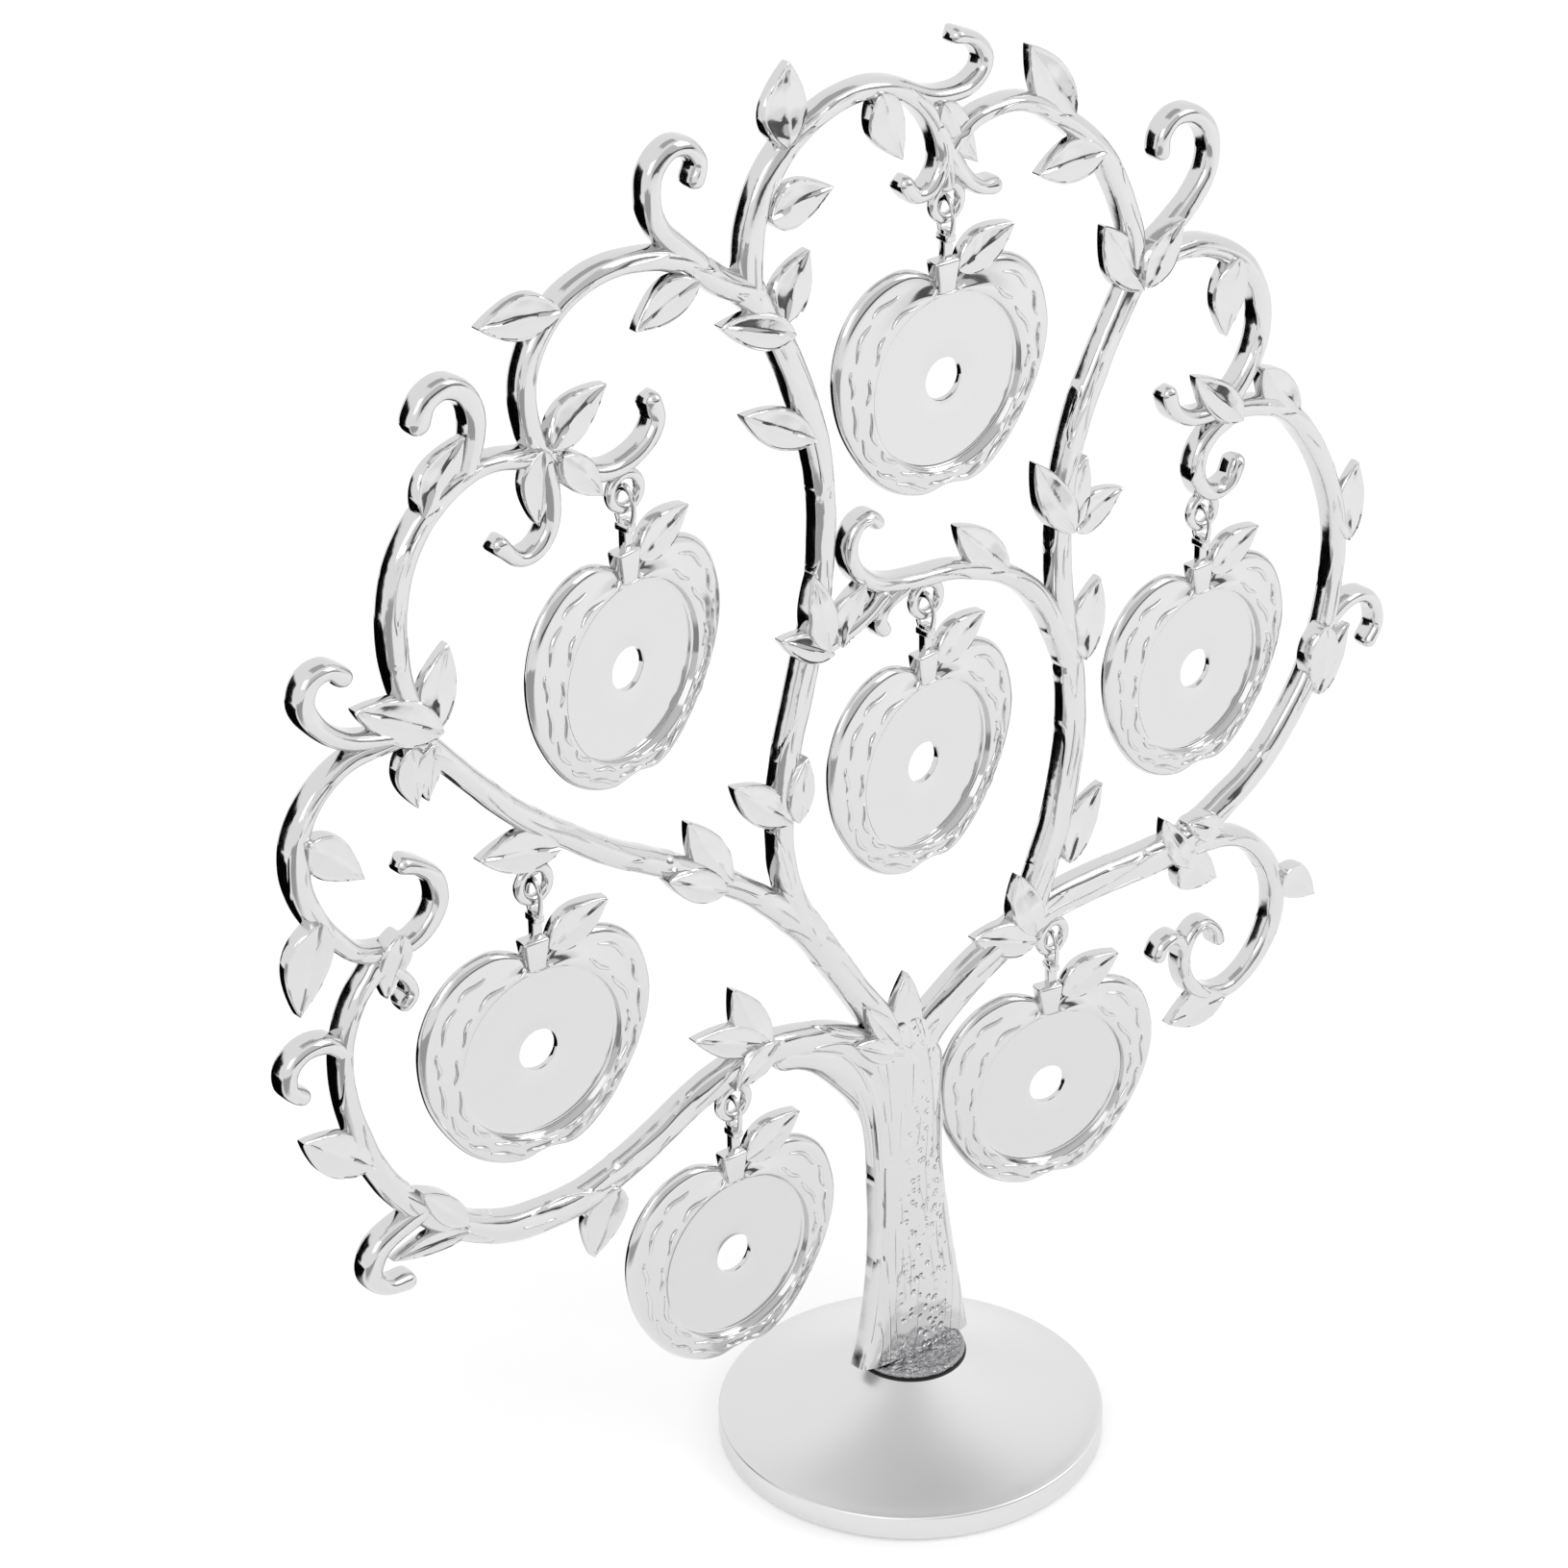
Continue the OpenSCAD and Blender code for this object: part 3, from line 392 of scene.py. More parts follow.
def surfaced(material, kind, inputs):
    """The material with a shader of a kind as its surface."""
    tree = material.node_tree
    add_node(tree, "OutputMaterial", {"Surface": add_node(tree, kind, inputs)})
    return material


def add_pits(tree, place, size, depth, below, share=None):
    """Pits cut in the relief below, in mm across and deep, shallower where share is low."""
    cells = add_node(tree, "TexVoronoi", {"Vector": place, "Scale": 1 / (size * MM)})
    shape = add_node(tree, "MapRange", {
        "Value": cells, "From Min": 0.12, "From Max": 0.42, "To Min": -1.0, "To Max": 0.0},
        interpolation_type="SMOOTHSTEP")
    if share:
        shape = add_node(tree, "Math", {0: shape, 1: share}, operation="MULTIPLY")
    return add_node(tree, "Bump", {"Height": shape, "Distance": depth * MM, "Normal": below})


def away_from(tree, value, middle):
    """How far a value is from a middle, whichever side it is on."""
    off = add_node(tree, "Math", {0: value, 1: middle}, operation="SUBTRACT")
    return add_node(tree, "Math", {0: off}, operation="ABSOLUTE")


def add_streaks(tree, surface, length, width, depth, below, line=0.05):
    """Thin raised streaks on the relief below that follow the UV map, where a stretched noise
    crosses its middle. Length and width are the noise's and depth a streak's, in mm; line is the
    share of the noise that a streak takes."""
    def stretched(length, width):
        spread = add_node(tree, "Mapping", {
            "Vector": surface, "Scale": (1 / (length * MM), 1 / (width * MM), 1.0)})
        return add_node(tree, "TexNoise", {"Vector": spread, "Scale": 1.0, "Detail": 0.0})

    streak = add_node(tree, "MapRange", {
        "Value": away_from(tree, stretched(length, width), 0.5), "From Min": 0.0,
        "From Max": line, "To Min": 1.0, "To Max": 0.0}, interpolation_type="SMOOTHSTEP")
    # They come and go along the limb
    shown = add_node(tree, "MapRange", {
        "Value": stretched(14, 4), "From Min": 0.44, "From Max": 0.56})
    height = add_node(tree, "Math", {0: streak, 1: shown}, operation="MULTIPLY")
    return add_node(tree, "Bump", {"Height": height, "Distance": depth * MM, "Normal": below})


def plated_casting(name, skin_size, skin_depth, detail=None, roughness=None, shade=None):
    """Zinc alloy, die cast, tumbled and nickel plated: a mirror that the casting's skin ripples.
    Its flat back is plated as it left the die, unpolished, so it is duller.
    detail(tree, at, skin) cuts what else the surface carries."""
    finish = bpy.context.scene.photo_tree_finish
    roughness = roughness or finish.plate_roughness
    material, tree, at = empty_material(name)
    skin = add_node(tree, "TexNoise", {
        "Vector": at["Object"], "Scale": 1 / (skin_size * MM), "Detail": 2.0,
        "Roughness": 0.5})
    relief = add_node(tree, "Bump", {"Height": skin, "Distance": skin_depth * MM})
    if detail:
        relief = detail(tree, at, relief)
    haze = add_node(tree, "MapRange", {
        "Value": skin, "From Min": 0.35, "From Max": 0.7, "To Min": roughness * 0.75,
        "To Max": roughness * 1.4})
    facing = add_node(tree, "SeparateXYZ", {"Vector": at["Normal"]}).outputs
    behind = add_node(tree, "MapRange", {
        "Value": facing["Y"], "From Min": 0.85, "From Max": 0.97, "To Min": 0.0,
        "To Max": finish.back_roughness - roughness})
    return surfaced(material, "BsdfPrincipled", {
        "Base Color": linear(shade) if shade else tuple(finish.plate_colour), "Metallic": 1.0,
        "Roughness": add_node(tree, "Math", {0: haze, 1: behind}, operation="ADD"),
        "Normal": relief})


def bough_plate():
    """The boughs: a bright plate over bark, with sparse thin streaks that follow each bough."""
    def streaks(tree, at, skin):
        return add_streaks(tree, at["UV"], 20.0, 2.8, 0.30, skin)

    return plated_casting("nickel_plate_bough", 4.0, 0.08, streaks)


def leaf_plate():
    """The leaves, eyes and curls: the same plate over a smoother skin."""
    return plated_casting("nickel_plate_leaf", 3.0, 0.05)


def apple_plate_metal():
    """The pendants: the same plate, tumbled smoother."""
    return plated_casting("nickel_plate_apple", 9.0, 0.04)


def foot_plate_painted_reflection():
    """The foot disc: plate over a coarse, gritty skin, with its colour painted darker as painted
    reflection of the trunk's dark pitted front.
    """
    def grit(tree, at, skin):
        return add_pits(tree, at["Object"], 1.3, 0.12, skin)

    # A2A2A4 is painted reflection: the disc is painted darker than the plate for the trunk that it
    # mirrors
    return plated_casting("nickel_plate_foot_painted_reflection", 1.6, 0.6, grit, roughness=0.22, shade="A2A2A4")


def trunk_plate():
    """The trunk: the same plate over streaked bark, with pits up its middle that crowd towards
    the foot."""
    def pitted_bark(tree, at, skin):
        place = add_node(tree, "SeparateXYZ", {"Vector": at["Object"]}).outputs
        low = add_node(tree, "MapRange", {
            "Value": place["Z"], "From Min": 30 * MM, "From Max": 95 * MM, "To Min": 1.0,
            "To Max": 0.25})
        middle = add_node(tree, "MapRange", {
            "Value": away_from(tree, place["X"], 1.5 * MM), "From Min": 3.0 * MM,
            "From Max": 9.0 * MM, "To Min": 1.0, "To Max": 0.0})
        share = add_node(tree, "Math", {0: low, 1: middle}, operation="MULTIPLY")
        pitted = add_pits(tree, at["Object"], 2.1, 0.6, skin, share)
        return add_streaks(tree, at["UV"], 22.0, 3.0, 0.22, pitted, 0.035)

    roughness = bpy.context.scene.photo_tree_finish.plate_roughness * 1.2
    return plated_casting("nickel_plate_trunk", 4.0, 0.06, pitted_bark, roughness)


def mottled(name, shade, patch, low, high, metallic=0.0):
    """One shade whose roughness wanders from low to high in patches of a size in mm."""
    material, tree, at = empty_material(name)
    patches = add_node(tree, "TexNoise", {"Vector": at["Object"], "Scale": 1 / (patch * MM)})
    return surfaced(material, "BsdfPrincipled", {
        "Base Color": linear(shade), "Metallic": metallic, "Roughness": add_node(
            tree, "MapRange", {"Value": patches, "To Min": low, "To Max": high})})


def painted_gap_shadow():
    """A black ring under the foot disc: painted shadow of the gap between the disc and the base.
    """
    return mottled("painted_shadow_gap_ring", "141414", 2.0, 0.3, 0.6)


def zinc_plated():
    """Zinc plated steel of the fixing screw: grey, with a faint mottle."""
    return mottled("steel_zinc_plated", "B9BBBE", 1.5, 0.25, 0.45, metallic=1.0)


def satin_turned():
    """Satin nickel over spun steel, brushed on the lathe: its rings draw light into wedges."""
    finish = bpy.context.scene.photo_tree_finish
    material, tree, at = empty_material("satin_nickel_turned")
    flat = add_node(tree, "VectorMath", {0: at["Object"], 1: (1.0, 1.0, 0.0)},
                    operation="MULTIPLY")
    reach = add_node(tree, "VectorMath", {0: flat}, operation="LENGTH").outputs["Value"]
    # Real brush lines are about 0.05 mm apart: drawn at 0.4 mm so that they show
    rings = add_node(tree, "TexNoise", {
        "Vector": add_node(tree, "CombineXYZ", {"X": reach}), "Scale": 1 / (0.4 * MM),
        "Detail": 2.0})
    brushed = add_node(tree, "Bump", {"Height": rings, "Distance": 0.012 * MM, "Strength": 0.5})
    return surfaced(material, "BsdfPrincipled", {
        "Base Color": tuple(finish.base_colour), "Metallic": 1.0,
        "Roughness": finish.base_roughness, "Anisotropic": 0.6, "Normal": brushed,
        "Tangent": add_node(tree, "Tangent", direction_type="RADIAL", axis="Z")})


def pressed_felt():
    """Wool felt, pressed and cut to a disc: matte, with short fibres lying every way."""
    material, tree, at = empty_material("wool_felt_pressed")
    fibres = add_node(tree, "TexNoise", {
        "Vector": at["Object"], "Scale": 1 / (0.6 * MM), "Detail": 5.0,
        "Roughness": 0.8, "Distortion": 1.2})
    tone = add_node(tree, "ValToRGB", {"Fac": fibres})
    for stop, shade in zip(tone.color_ramp.elements, ("171717", "3C3C3C")):
        stop.color = linear(shade)
    return surfaced(material, "BsdfPrincipled", {
        "Base Color": tone, "Roughness": 0.95, "Sheen Weight": 0.4,
        "Normal": add_node(tree, "Bump", {"Height": fibres, "Distance": 0.15 * MM})})


MATERIALS = {}


def shared(make):
    """The material that a function makes, made the first time it is asked for."""
    if make.__name__ not in MATERIALS:
        MATERIALS[make.__name__] = make()
    return MATERIALS[make.__name__]


def select_only(*things):
    """Only these are selected, and the first is active."""
    bpy.ops.object.select_all(action="DESELECT")
    for thing in things:
        thing.select_set(True)
    bpy.context.view_layer.objects.active = things[0]


def added(add, **settings):
    """What an add operator makes, with nothing else selected."""
    bpy.ops.object.select_all(action="DESELECT")
    add(**settings)
    return bpy.context.object


def edit_all(thing):
    """All of the thing is selected in edit mode."""
    select_only(thing)
    bpy.ops.object.mode_set(mode="EDIT")
    bpy.ops.mesh.select_all(action="SELECT")


def closed_up(thing):
    """Doubled corners are merged, open ends filled and faces turned outwards."""
    edit_all(thing)
    bpy.ops.mesh.remove_doubles(threshold=0.001 * MM)
    bpy.ops.mesh.fill_holes(sides=0)
    bpy.ops.mesh.select_all(action="SELECT")
    bpy.ops.mesh.normals_make_consistent(inside=False)
    bpy.ops.object.mode_set(mode="OBJECT")
    return thing


def laid_over(columns, rows, place):
    """A grid primitive laid over a form: place(i, k) gives a corner's spot and its UV, in mm."""
    thing = added(bpy.ops.mesh.primitive_grid_add, x_subdivisions=columns, y_subdivisions=rows,
                  size=1.0)
    mesh = thing.data
    corners = [place(round((v.co.x + 0.5) * columns), round((v.co.y + 0.5) * rows))
               for v in mesh.vertices]
    mesh.vertices.foreach_set("co", (np.array([c[0] for c in corners]) * MM).ravel())
    owner = np.zeros(len(mesh.loops), int)
    mesh.loops.foreach_get("vertex_index", owner)
    surface = (np.array([c[1] for c in corners]) * MM)[owner]
    mesh.uv_layers.active.data.foreach_set("uv", surface.ravel())
    mesh.update()
    return thing


def plated(part, finish):
    """The part with its material."""
    part.data.materials.clear()
    part.data.materials.append(shared(finish))
    return part


def one_piece(name, parts, smooth_angle=40):
    """The parts joined in one smooth shaded object."""
    select_only(*parts)
    if len(parts) > 1:
        bpy.ops.object.join()
    piece = bpy.context.object
    piece.name = piece.data.name = name
    bpy.ops.object.shade_smooth_by_angle(angle=math.radians(smooth_angle))
    return piece


def stand_in(piece, node, body=STAND):
    """The piece takes a CAD node's place, the node hidden, and rides on its body."""
    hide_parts(node)
    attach(piece, body)


def tree_point(x, z):
    """A drawn point set on the base, at the real tree's height."""
    return x, TREE_FOOT + (z - DRAWN_FOOT) * (TREE_TOP - TREE_FOOT) / (TREE_TOP - DRAWN_FOOT)


def spline(points, closed=False, steps=10):
    """Points on a smooth curve through the given ones."""
    given = np.array(points, float)
    count = len(given)
    spans = count if closed else count - 1
    curve = []
    for i in range(spans):
        a, b, c, d = [given[(i + k) % count] if closed else given[min(max(i + k, 0), count - 1)]
                      for k in (-1, 0, 1, 2)]
        for t in np.arange(steps) / steps:
            curve.append((2 * b + (c - a) * t + (2 * a - 5 * b + 4 * c - d) * t ** 2
                          + (3 * b - a - 3 * c + d) * t ** 3) / 2)
    if not closed:
        curve.append(given[-1])
    return np.array(curve)


def limb_curve(points):
    """The smooth curve of a limb through its drawn points."""
    return spline([(*tree_point(x, z), width) for x, z, width in points])


LIMB_CURVES = [limb_curve(TRUNK_LINE)] + [
    limb_curve(points) for limbs, _ in CAST_PIECES.values() for points in limbs.values()]


def limb_stations(points, square_foot=False):
    """Stations along a limb: centre x and z, run x and z, half width, length so far, fullness.
    Its ends are rounded over, where the section shrinks on a quarter circle, and the far one
    swells a little first. A square foot isn't rounded."""
    curve = limb_curve(points)
    so_far = np.concatenate([[0], np.cumsum(np.hypot(*np.diff(curve[:, :2], axis=0).T))])
    marks = np.linspace(0, so_far[-1], max(round(so_far[-1] / STATION_STEP), 5) + 1)
    x, z, width = [np.interp(marks, so_far, curve[:, k]) for k in range(3)]
    run_x, run_z = np.gradient(x), np.gradient(z)
    size = np.hypot(run_x, run_z)
    run_x, run_z = run_x / size, run_z / size
    bulb_share, bulb_reach = 0.28, 2.2
    bulb = 1 + bulb_share * np.exp(-((marks[-1] - marks) / bulb_reach) ** 2)
    stations = [(x[i], z[i], run_x[i], run_z[i], width[i] / 2 * bulb[i], marks[i], 1.0)
                for i in range(len(marks))]
    for first in (False,) if square_foot else (True, False):
        cx, cz, dx, dz, half, mark, _ = stations[0 if first else -1]
        for angle in np.radians((15, 30, 44, 57, 69, 79, 87)):
            out = half * math.sin(angle) * (-0.7 if first else 1)
            station = (cx + dx * out, cz + dz * out, dx, dz, half * math.cos(angle),
                       mark + out, math.cos(angle) ** (0.25 if first else 0.8))
            stations.insert(0 if first else len(stations), station)
    return stations


def limb_section(back, shoulder, front):
    """The section's corners, once round: share of the half width across, and Y in mm."""
    side = [(-0.78, back), (-0.90, back - 0.12), (-0.98, back - 0.45), (-1.0, back - 1.0)]
    dome = [(-math.cos(turn), shoulder + (front - shoulder) * math.sin(turn) ** 0.62)
            for turn in np.linspace(0, math.pi, DOME_POINTS)]
    return side + dome + [(-across, y) for across, y in reversed(side)] + side[:1]


def bark(along, across, seed):
    """Rise of the bark at a place on a limb, from 0 to 1: long soft ridges that wander."""
    length, width = bpy.context.scene.photo_tree_relief.groove_length, 2.4
    ridge = noise.noise(Vector((along / length, across / width, seed)))
    return min(max(ridge * 1.7 + 0.5, 0.0), 1.0)


def trunk_rib(line, width):
    """One fine rib on the trunk's front, along points in X and Z, that follows its dome back."""
    points = spline([tree_point(x, z) for x, z in line], steps=6)
    height, dome_middle = 0.55, -2
    front = TRUNK_SECTION["front"] + height
    return bead([(x, front + 0.03 * abs(x - dome_middle) ** 1.2, z) for x, z in points], width,
                height, sink=1.6)


def limb(points, seed, section, square_foot=False):
    """One cast limb: its section swept along its line, with bark raised on the domed front."""
    stations = limb_stations(points, square_foot)
    corners = limb_section(**section)
    middle = (section["back"] + section["front"]) / 2
    depth = bpy.context.scene.photo_tree_relief.bark_depth

    def place(i, k):
        x, z, run_x, run_z, half, mark, fullness = stations[i]
        across, y = corners[k]
        # The sides wander a little, as those of a branch do
        sway = 0.14 * noise.noise(Vector((mark / 6.0, seed, 3.0 + across)))
        side = across * max(half + sway * fullness, 0.05)
        deep = middle + (y - middle) * fullness
        if y < section["shoulder"] + 0.01:
            fade = fullness * math.sqrt(max(1 - across ** 2, 0.0))
            deep += depth * (1 - bark(mark, side, seed)) * min(half / 2.2, 1.0) * fade
        return (x - run_z * side, deep, z + run_x * side), (mark + 50 * seed, side)

    return closed_up(laid_over(len(stations) - 1, len(corners) - 1, place))


def leaf_half(t):
    """Half the width of a leaf at t along it, as a share of the widest."""
    return math.sin(math.pi * t ** 0.82) ** 0.86 * (1 - 0.12 * t)


def leaf_lift(foot, tip):
    """How far forward a leaf stands in mm, at four places from foot to tip: it lies over the
    limb that it grows from, and over any other that it crosses."""
    lifts = [LEAF_LIFT]
    for t in LEAF_SHARES[1:]:
        x, z = np.array(foot) + (np.array(tip) - np.array(foot)) * t
        lifts.append(LEAF_LIFT if any(
            np.any(np.hypot(line[:, 0] - x, line[:, 1] - z) < line[:, 2] / 2)
            for line in LIMB_CURVES) else 0.0)
    return lifts


def leaf(foot, tip, width, back, edge, seed, lifts=(0, 0, 0, 0), veins=0.0):
    """A cast leaf: a dome that a midrib parts, with rounded edges, flat behind. All in mm.
    Lifts set it forward at four places from its foot to its tip."""
    along_steps, across_steps = 30, 26
    dome, rim, rim_inset, ripple = 0.50, 0.24, 0.40, 0.14
    foot, tip = np.array(foot, float), np.array(tip, float)
    run = tip - foot
    length = np.hypot(*run)
    out = np.array([-run[1], run[0]]) / length
    midrib_height = bpy.context.scene.photo_tree_relief.midrib_height

    def place(i, k):
        t = min(max(i / along_steps, 0.006), 0.994)
        v = math.sin(math.pi / 2 * (2 * k / across_steps - 1))
        half = max(width * 0.56 * leaf_half(t), 0.05)
        # The midrib bows a little to one side
        x, z = foot + run * t + out * half * v
        off_rib = v * half - 0.25 * math.sin(math.pi * t)
        swell = math.sin(math.pi * t) ** 0.4
        rise = dome * (1 - abs(v)) ** 0.8 * min(half / 3.0, 1.2)
        near = [math.exp(-((t - share) / 0.30) ** 2) for share in LEAF_SHARES]
        rise += sum(n * l for n, l in zip(near, lifts)) / sum(near)
        rise += midrib_height * math.exp(-(off_rib / 0.30) ** 2)
        rise += rim * math.exp(-(((1 - abs(v)) * half - rim_inset) / 0.25) ** 2)
        if veins:
            slant = (t * length - abs(off_rib) * 0.9) / 2.6
            line = math.exp(-((slant % 1.0 - 0.5) / 0.16) ** 2)
            rise += veins * line * (1 - abs(v)) * min(abs(off_rib) / 0.5, 1.0)
        rise += ripple * noise.noise(Vector((x / 3.5, z / 3.5, seed)))
        fall = 0.35 * max(abs(v) - 0.93, 0.0) / 0.07
        if not any(lifts):
            rise *= swell
        return (x, edge - rise + fall * swell, z), (t * length, half * v)

    sheet = laid_over(along_steps, across_steps, place)
    edit_all(sheet)
    bpy.ops.mesh.extrude_region_move(TRANSFORM_OT_translate={"value": (0, (back - edge) * MM, 0)})
    bpy.ops.transform.resize(value=(1, 0, 1), center_override=(0, back * MM, 0))
    bpy.ops.object.mode_set(mode="OBJECT")
    return closed_up(sheet)


def ring(radius, wire, place=(0, 0, 0), turn=(math.pi / 2, 0, 0), stretch=(1, 1, 1)):
    """A cast ring with a round wire. Its hole runs along Z before it is turned."""
    thing = added(bpy.ops.mesh.primitive_torus_add, major_radius=radius * MM,
                  minor_radius=wire * MM, major_segments=56, minor_segments=18,
                  location=[c * MM for c in place], rotation=turn)
    thing.scale = stretch
    bpy.ops.object.transform_apply(location=True, rotation=True, scale=True)
    return thing


def block(low, high, bevel, narrow=1.0):
    """A cast block with rounded edges between two corners in mm; narrow thins its lower end."""
    middle = [(a + b) / 2 * MM for a, b in zip(low, high)]
    thing = added(bpy.ops.mesh.primitive_cube_add, size=1.0, location=middle)
    thing.scale = [(b - a) * MM for a, b in zip(low, high)]
    bpy.ops.object.transform_apply(location=True, rotation=True, scale=True)
    for vertex in thing.data.vertices:
        if vertex.co.z < middle[2]:
            vertex.co.x = middle[0] + (vertex.co.x - middle[0]) * narrow
    rounded = thing.modifiers.new("rounded edges", "BEVEL")
    rounded.width, rounded.segments, rounded.limit_method = bevel * MM, 4, "NONE"
    bpy.ops.object.modifier_apply(modifier=rounded.name)
    return thing


def turned(profile, steps):
    """A lathe turned piece: a disc drawn up through the profile's radii and heights, in mm."""
    (radius, height), *rest = profile
    disc = added(bpy.ops.mesh.primitive_circle_add, vertices=steps, radius=radius * MM,
                 fill_type="NGON", location=(0, 0, height * MM))
    bpy.ops.object.transform_apply(location=True)
    edit_all(disc)
    for next_radius, next_height in rest:
        bpy.ops.mesh.extrude_region_move(
            TRANSFORM_OT_translate={"value": (0, 0, (next_height - height) * MM)})
        share = next_radius / radius
        bpy.ops.transform.resize(value=(share, share, 1), center_override=(0, 0, 0))
        radius, height = next_radius, next_height
    bpy.ops.object.mode_set(mode="OBJECT")
    return closed_up(disc)


def bead(line, width, height, sink=0.4):
    """A raised rounded bead along points in mm, that tapers out at both ends."""
    line = np.array(line)
    run = np.gradient(line[:, [0, 2]], axis=0)
    run /= np.hypot(*run.T)[:, None]
    last = len(line) - 1
    corners = [(-1.0, sink), (-0.95, -0.1), (-0.72, -0.62), (-0.38, -0.92), (0.0, -1.0),
               (0.38, -0.92), (0.72, -0.62), (0.95, -0.1), (1.0, sink), (-1.0, sink)]

    def place(i, k):
        full = max(math.sin(math.pi * (i + 0.3) / (last + 0.6)), 0.03) ** 0.4
        across, rise = corners[k]
        side = across * width / 2 * full
        x, y, z = line[i]
        deep = y + (rise * height * full if rise < 0 else rise)
        return (x - run[i, 1] * side, deep, z + run[i, 0] * side), (i, side)

    return closed_up(laid_over(last, len(corners) - 1, place))


def outline_reach():
    """A function that gives the apple's radius, in mm, at an angle round the push-out hole."""
    outline = spline(APPLE_OUTLINE, closed=True, steps=12)
    angles = np.mod(np.arctan2(outline[:, 1], outline[:, 0]), 2 * math.pi)
    order = np.argsort(angles)
    reaches = np.hypot(*outline.T)[order]
    return lambda angle: float(np.interp(angle % (2 * math.pi), angles[order], reaches,
                                         period=2 * math.pi))


def border_y(share):
    """Y of the apple's border in mm, from the recess, 0, to the outline, 1."""
    swell = 0.25 * math.sin(math.pi * min(share / 0.4, 1.0))
    slope = 1.0 * max(share - 0.15, 0.0) / 0.85
    edge = 1.3 * max((share - 0.82) / 0.18, 0.0) ** 2.5
    return PLATE_FRONT - swell + slope + edge


def apple_plate(reach):
    """The plate: push-out hole, sunk floor for the photo, swelling border and flat back."""
    steps = 180
    floor, front, back = RECESS_FLOOR, PLATE_FRONT, PLATE_BACK
    hole, recess = PUSH_RADIUS, RECESS_RADIUS
    inside = [(hole, back - 0.2), (hole, floor + 0.3), (hole + 0.08, floor + 0.08),
              (hole + 0.3, floor), (recess / 2, floor), (recess - 0.8, floor),
              (recess - 0.25, floor - 0.07), (recess - 0.06, floor - 0.25),
              (recess, front + 0.4), (recess + 0.06, front + 0.1), (recess + 0.25, front)]
    shares = (0.06, 0.13, 0.2, 0.3, 0.45, 0.6, 0.72, 0.8, 0.86, 0.91, 0.95, 0.98, 1.0)
    rows = len(inside) + len(shares) + 5

    def place(i, k):
        angle = 2 * math.pi * i / steps
        rim = reach(angle)
        border = [(recess + (rim - recess) * share, border_y(share)) for share in shares]
        rear = [(rim, back - 0.35), (rim - 0.12, back - 0.1), (rim - 0.4, back),
                (recess, back), (hole + 0.2, back)]
        loop = inside + border + rear
        radius, y = loop[k % rows]
        x, z = radius * math.cos(angle), radius * math.sin(angle)
        return (x, y, z), (x, z)

    return closed_up(laid_over(steps, rows, place))


def apple_dashes(reach):
    """Two rings of short wavy raised dashes round the border, left clear at the stem."""
    height = bpy.context.scene.photo_tree_relief.dash_height
    dashes = []
    # How far out on the border, how many, their length in mm, and where the ring starts and ends
    for row, (out, count, length, start, end) in enumerate(
            ((0.62, 15, 7.2, 118, 415), (0.20, 13, 6.4, 112, 420))):
        for k in range(count):
            middle = math.radians(start + (end - start) * (k + 0.5) / count)
            around = RECESS_RADIUS + (reach(middle) - RECESS_RADIUS) * out
            half_turn = length * (1 + 0.22 * math.sin(2.3 * k + row)) / around / 2
            phase = 1.9 * k + row
            line = []
            for t in np.linspace(-1, 1, 15):
                angle = middle + half_turn * t
                border = reach(angle) - RECESS_RADIUS
                place = out * border + 0.34 * math.sin(3.0 * t + phase)
                place += 0.30 * t * math.cos(phase)
                radius = RECESS_RADIUS + place
                line.append((radius * math.cos(angle), border_y(place / border),
                             radius * math.sin(angle)))
            dashes.append(bead(line, 1.05, height))
    return dashes


def apple_model():
    """One apple round its push-out hole, with its leaf, stem block, creases and dashes."""
    reach = outline_reach()
    parts = [apple_plate(reach), *apple_dashes(reach)]
    parts.append(leaf(APPLE_LEAF["foot"], APPLE_LEAF["tip"], APPLE_LEAF["width"], back=1.0,
                      edge=-1.5, seed=7.0, veins=0.14))
    parts.append(block((-3.8, -2.4, BLOCK_LOW), (2.4, 1.6, BLOCK_HIGH), 0.7, narrow=0.62))
    for side in (-1, 1):
        crease = [(-0.8 + side * (2.6 + 1.6 * t * t), PLATE_FRONT - 0.12, 21.0 - 1.9 * t)
                  for t in np.linspace(0, 1, 8)]
        parts.append(bead(crease, 0.9, 0.5))
    return one_piece("apple_model", [plated(part, apple_plate_metal) for part in parts])


def hanger_model():
    """One hanger round its pivot: a loop, a strap and two small ears above the stem block."""
    top = -LOOP_RADIUS + 0.2
    low = BLOCK_HIGH - HOLE_DROP
    parts = [ring(LOOP_RADIUS, LOOP_WIRE, turn=(0, math.pi / 2, 0), stretch=(1.8, 1, 1)),
             block((-1.1, -1.0, low - 2.6), (1.1, 1.0, top), 0.28),
             block((-1.25, -1.9, -4.9), (1.25, 1.9, -3.1), 0.45)]
    return one_piece("hanger_model", [plated(part, apple_plate_metal) for part in parts])


def hung_copy(model, name, hinge, drop=0.0, offset=0.0):
    """A copy of a pendant's model with a mesh of its own, hung from a hinge and turned with it."""
    place, turn = hinge
    copy = model.copy()
    copy.data = model.data.copy()
    copy.name = copy.data.name = name
    bpy.context.scene.collection.objects.link(copy)
    copy.data.transform(Matrix.Translation(place) @ Matrix.Rotation(turn, 4, "Z")
                        @ Matrix.Translation(Vector((-offset, 0, -drop)) * MM))
    return copy


def hinges():
    """Each pendant's pivot in metres and its turn about Z, in the order of the pendants."""
    return [(Vector(joint["pos_m"]), math.atan2(joint["axis"][1], joint["axis"][0]))
            for joint in frame["joints"]]


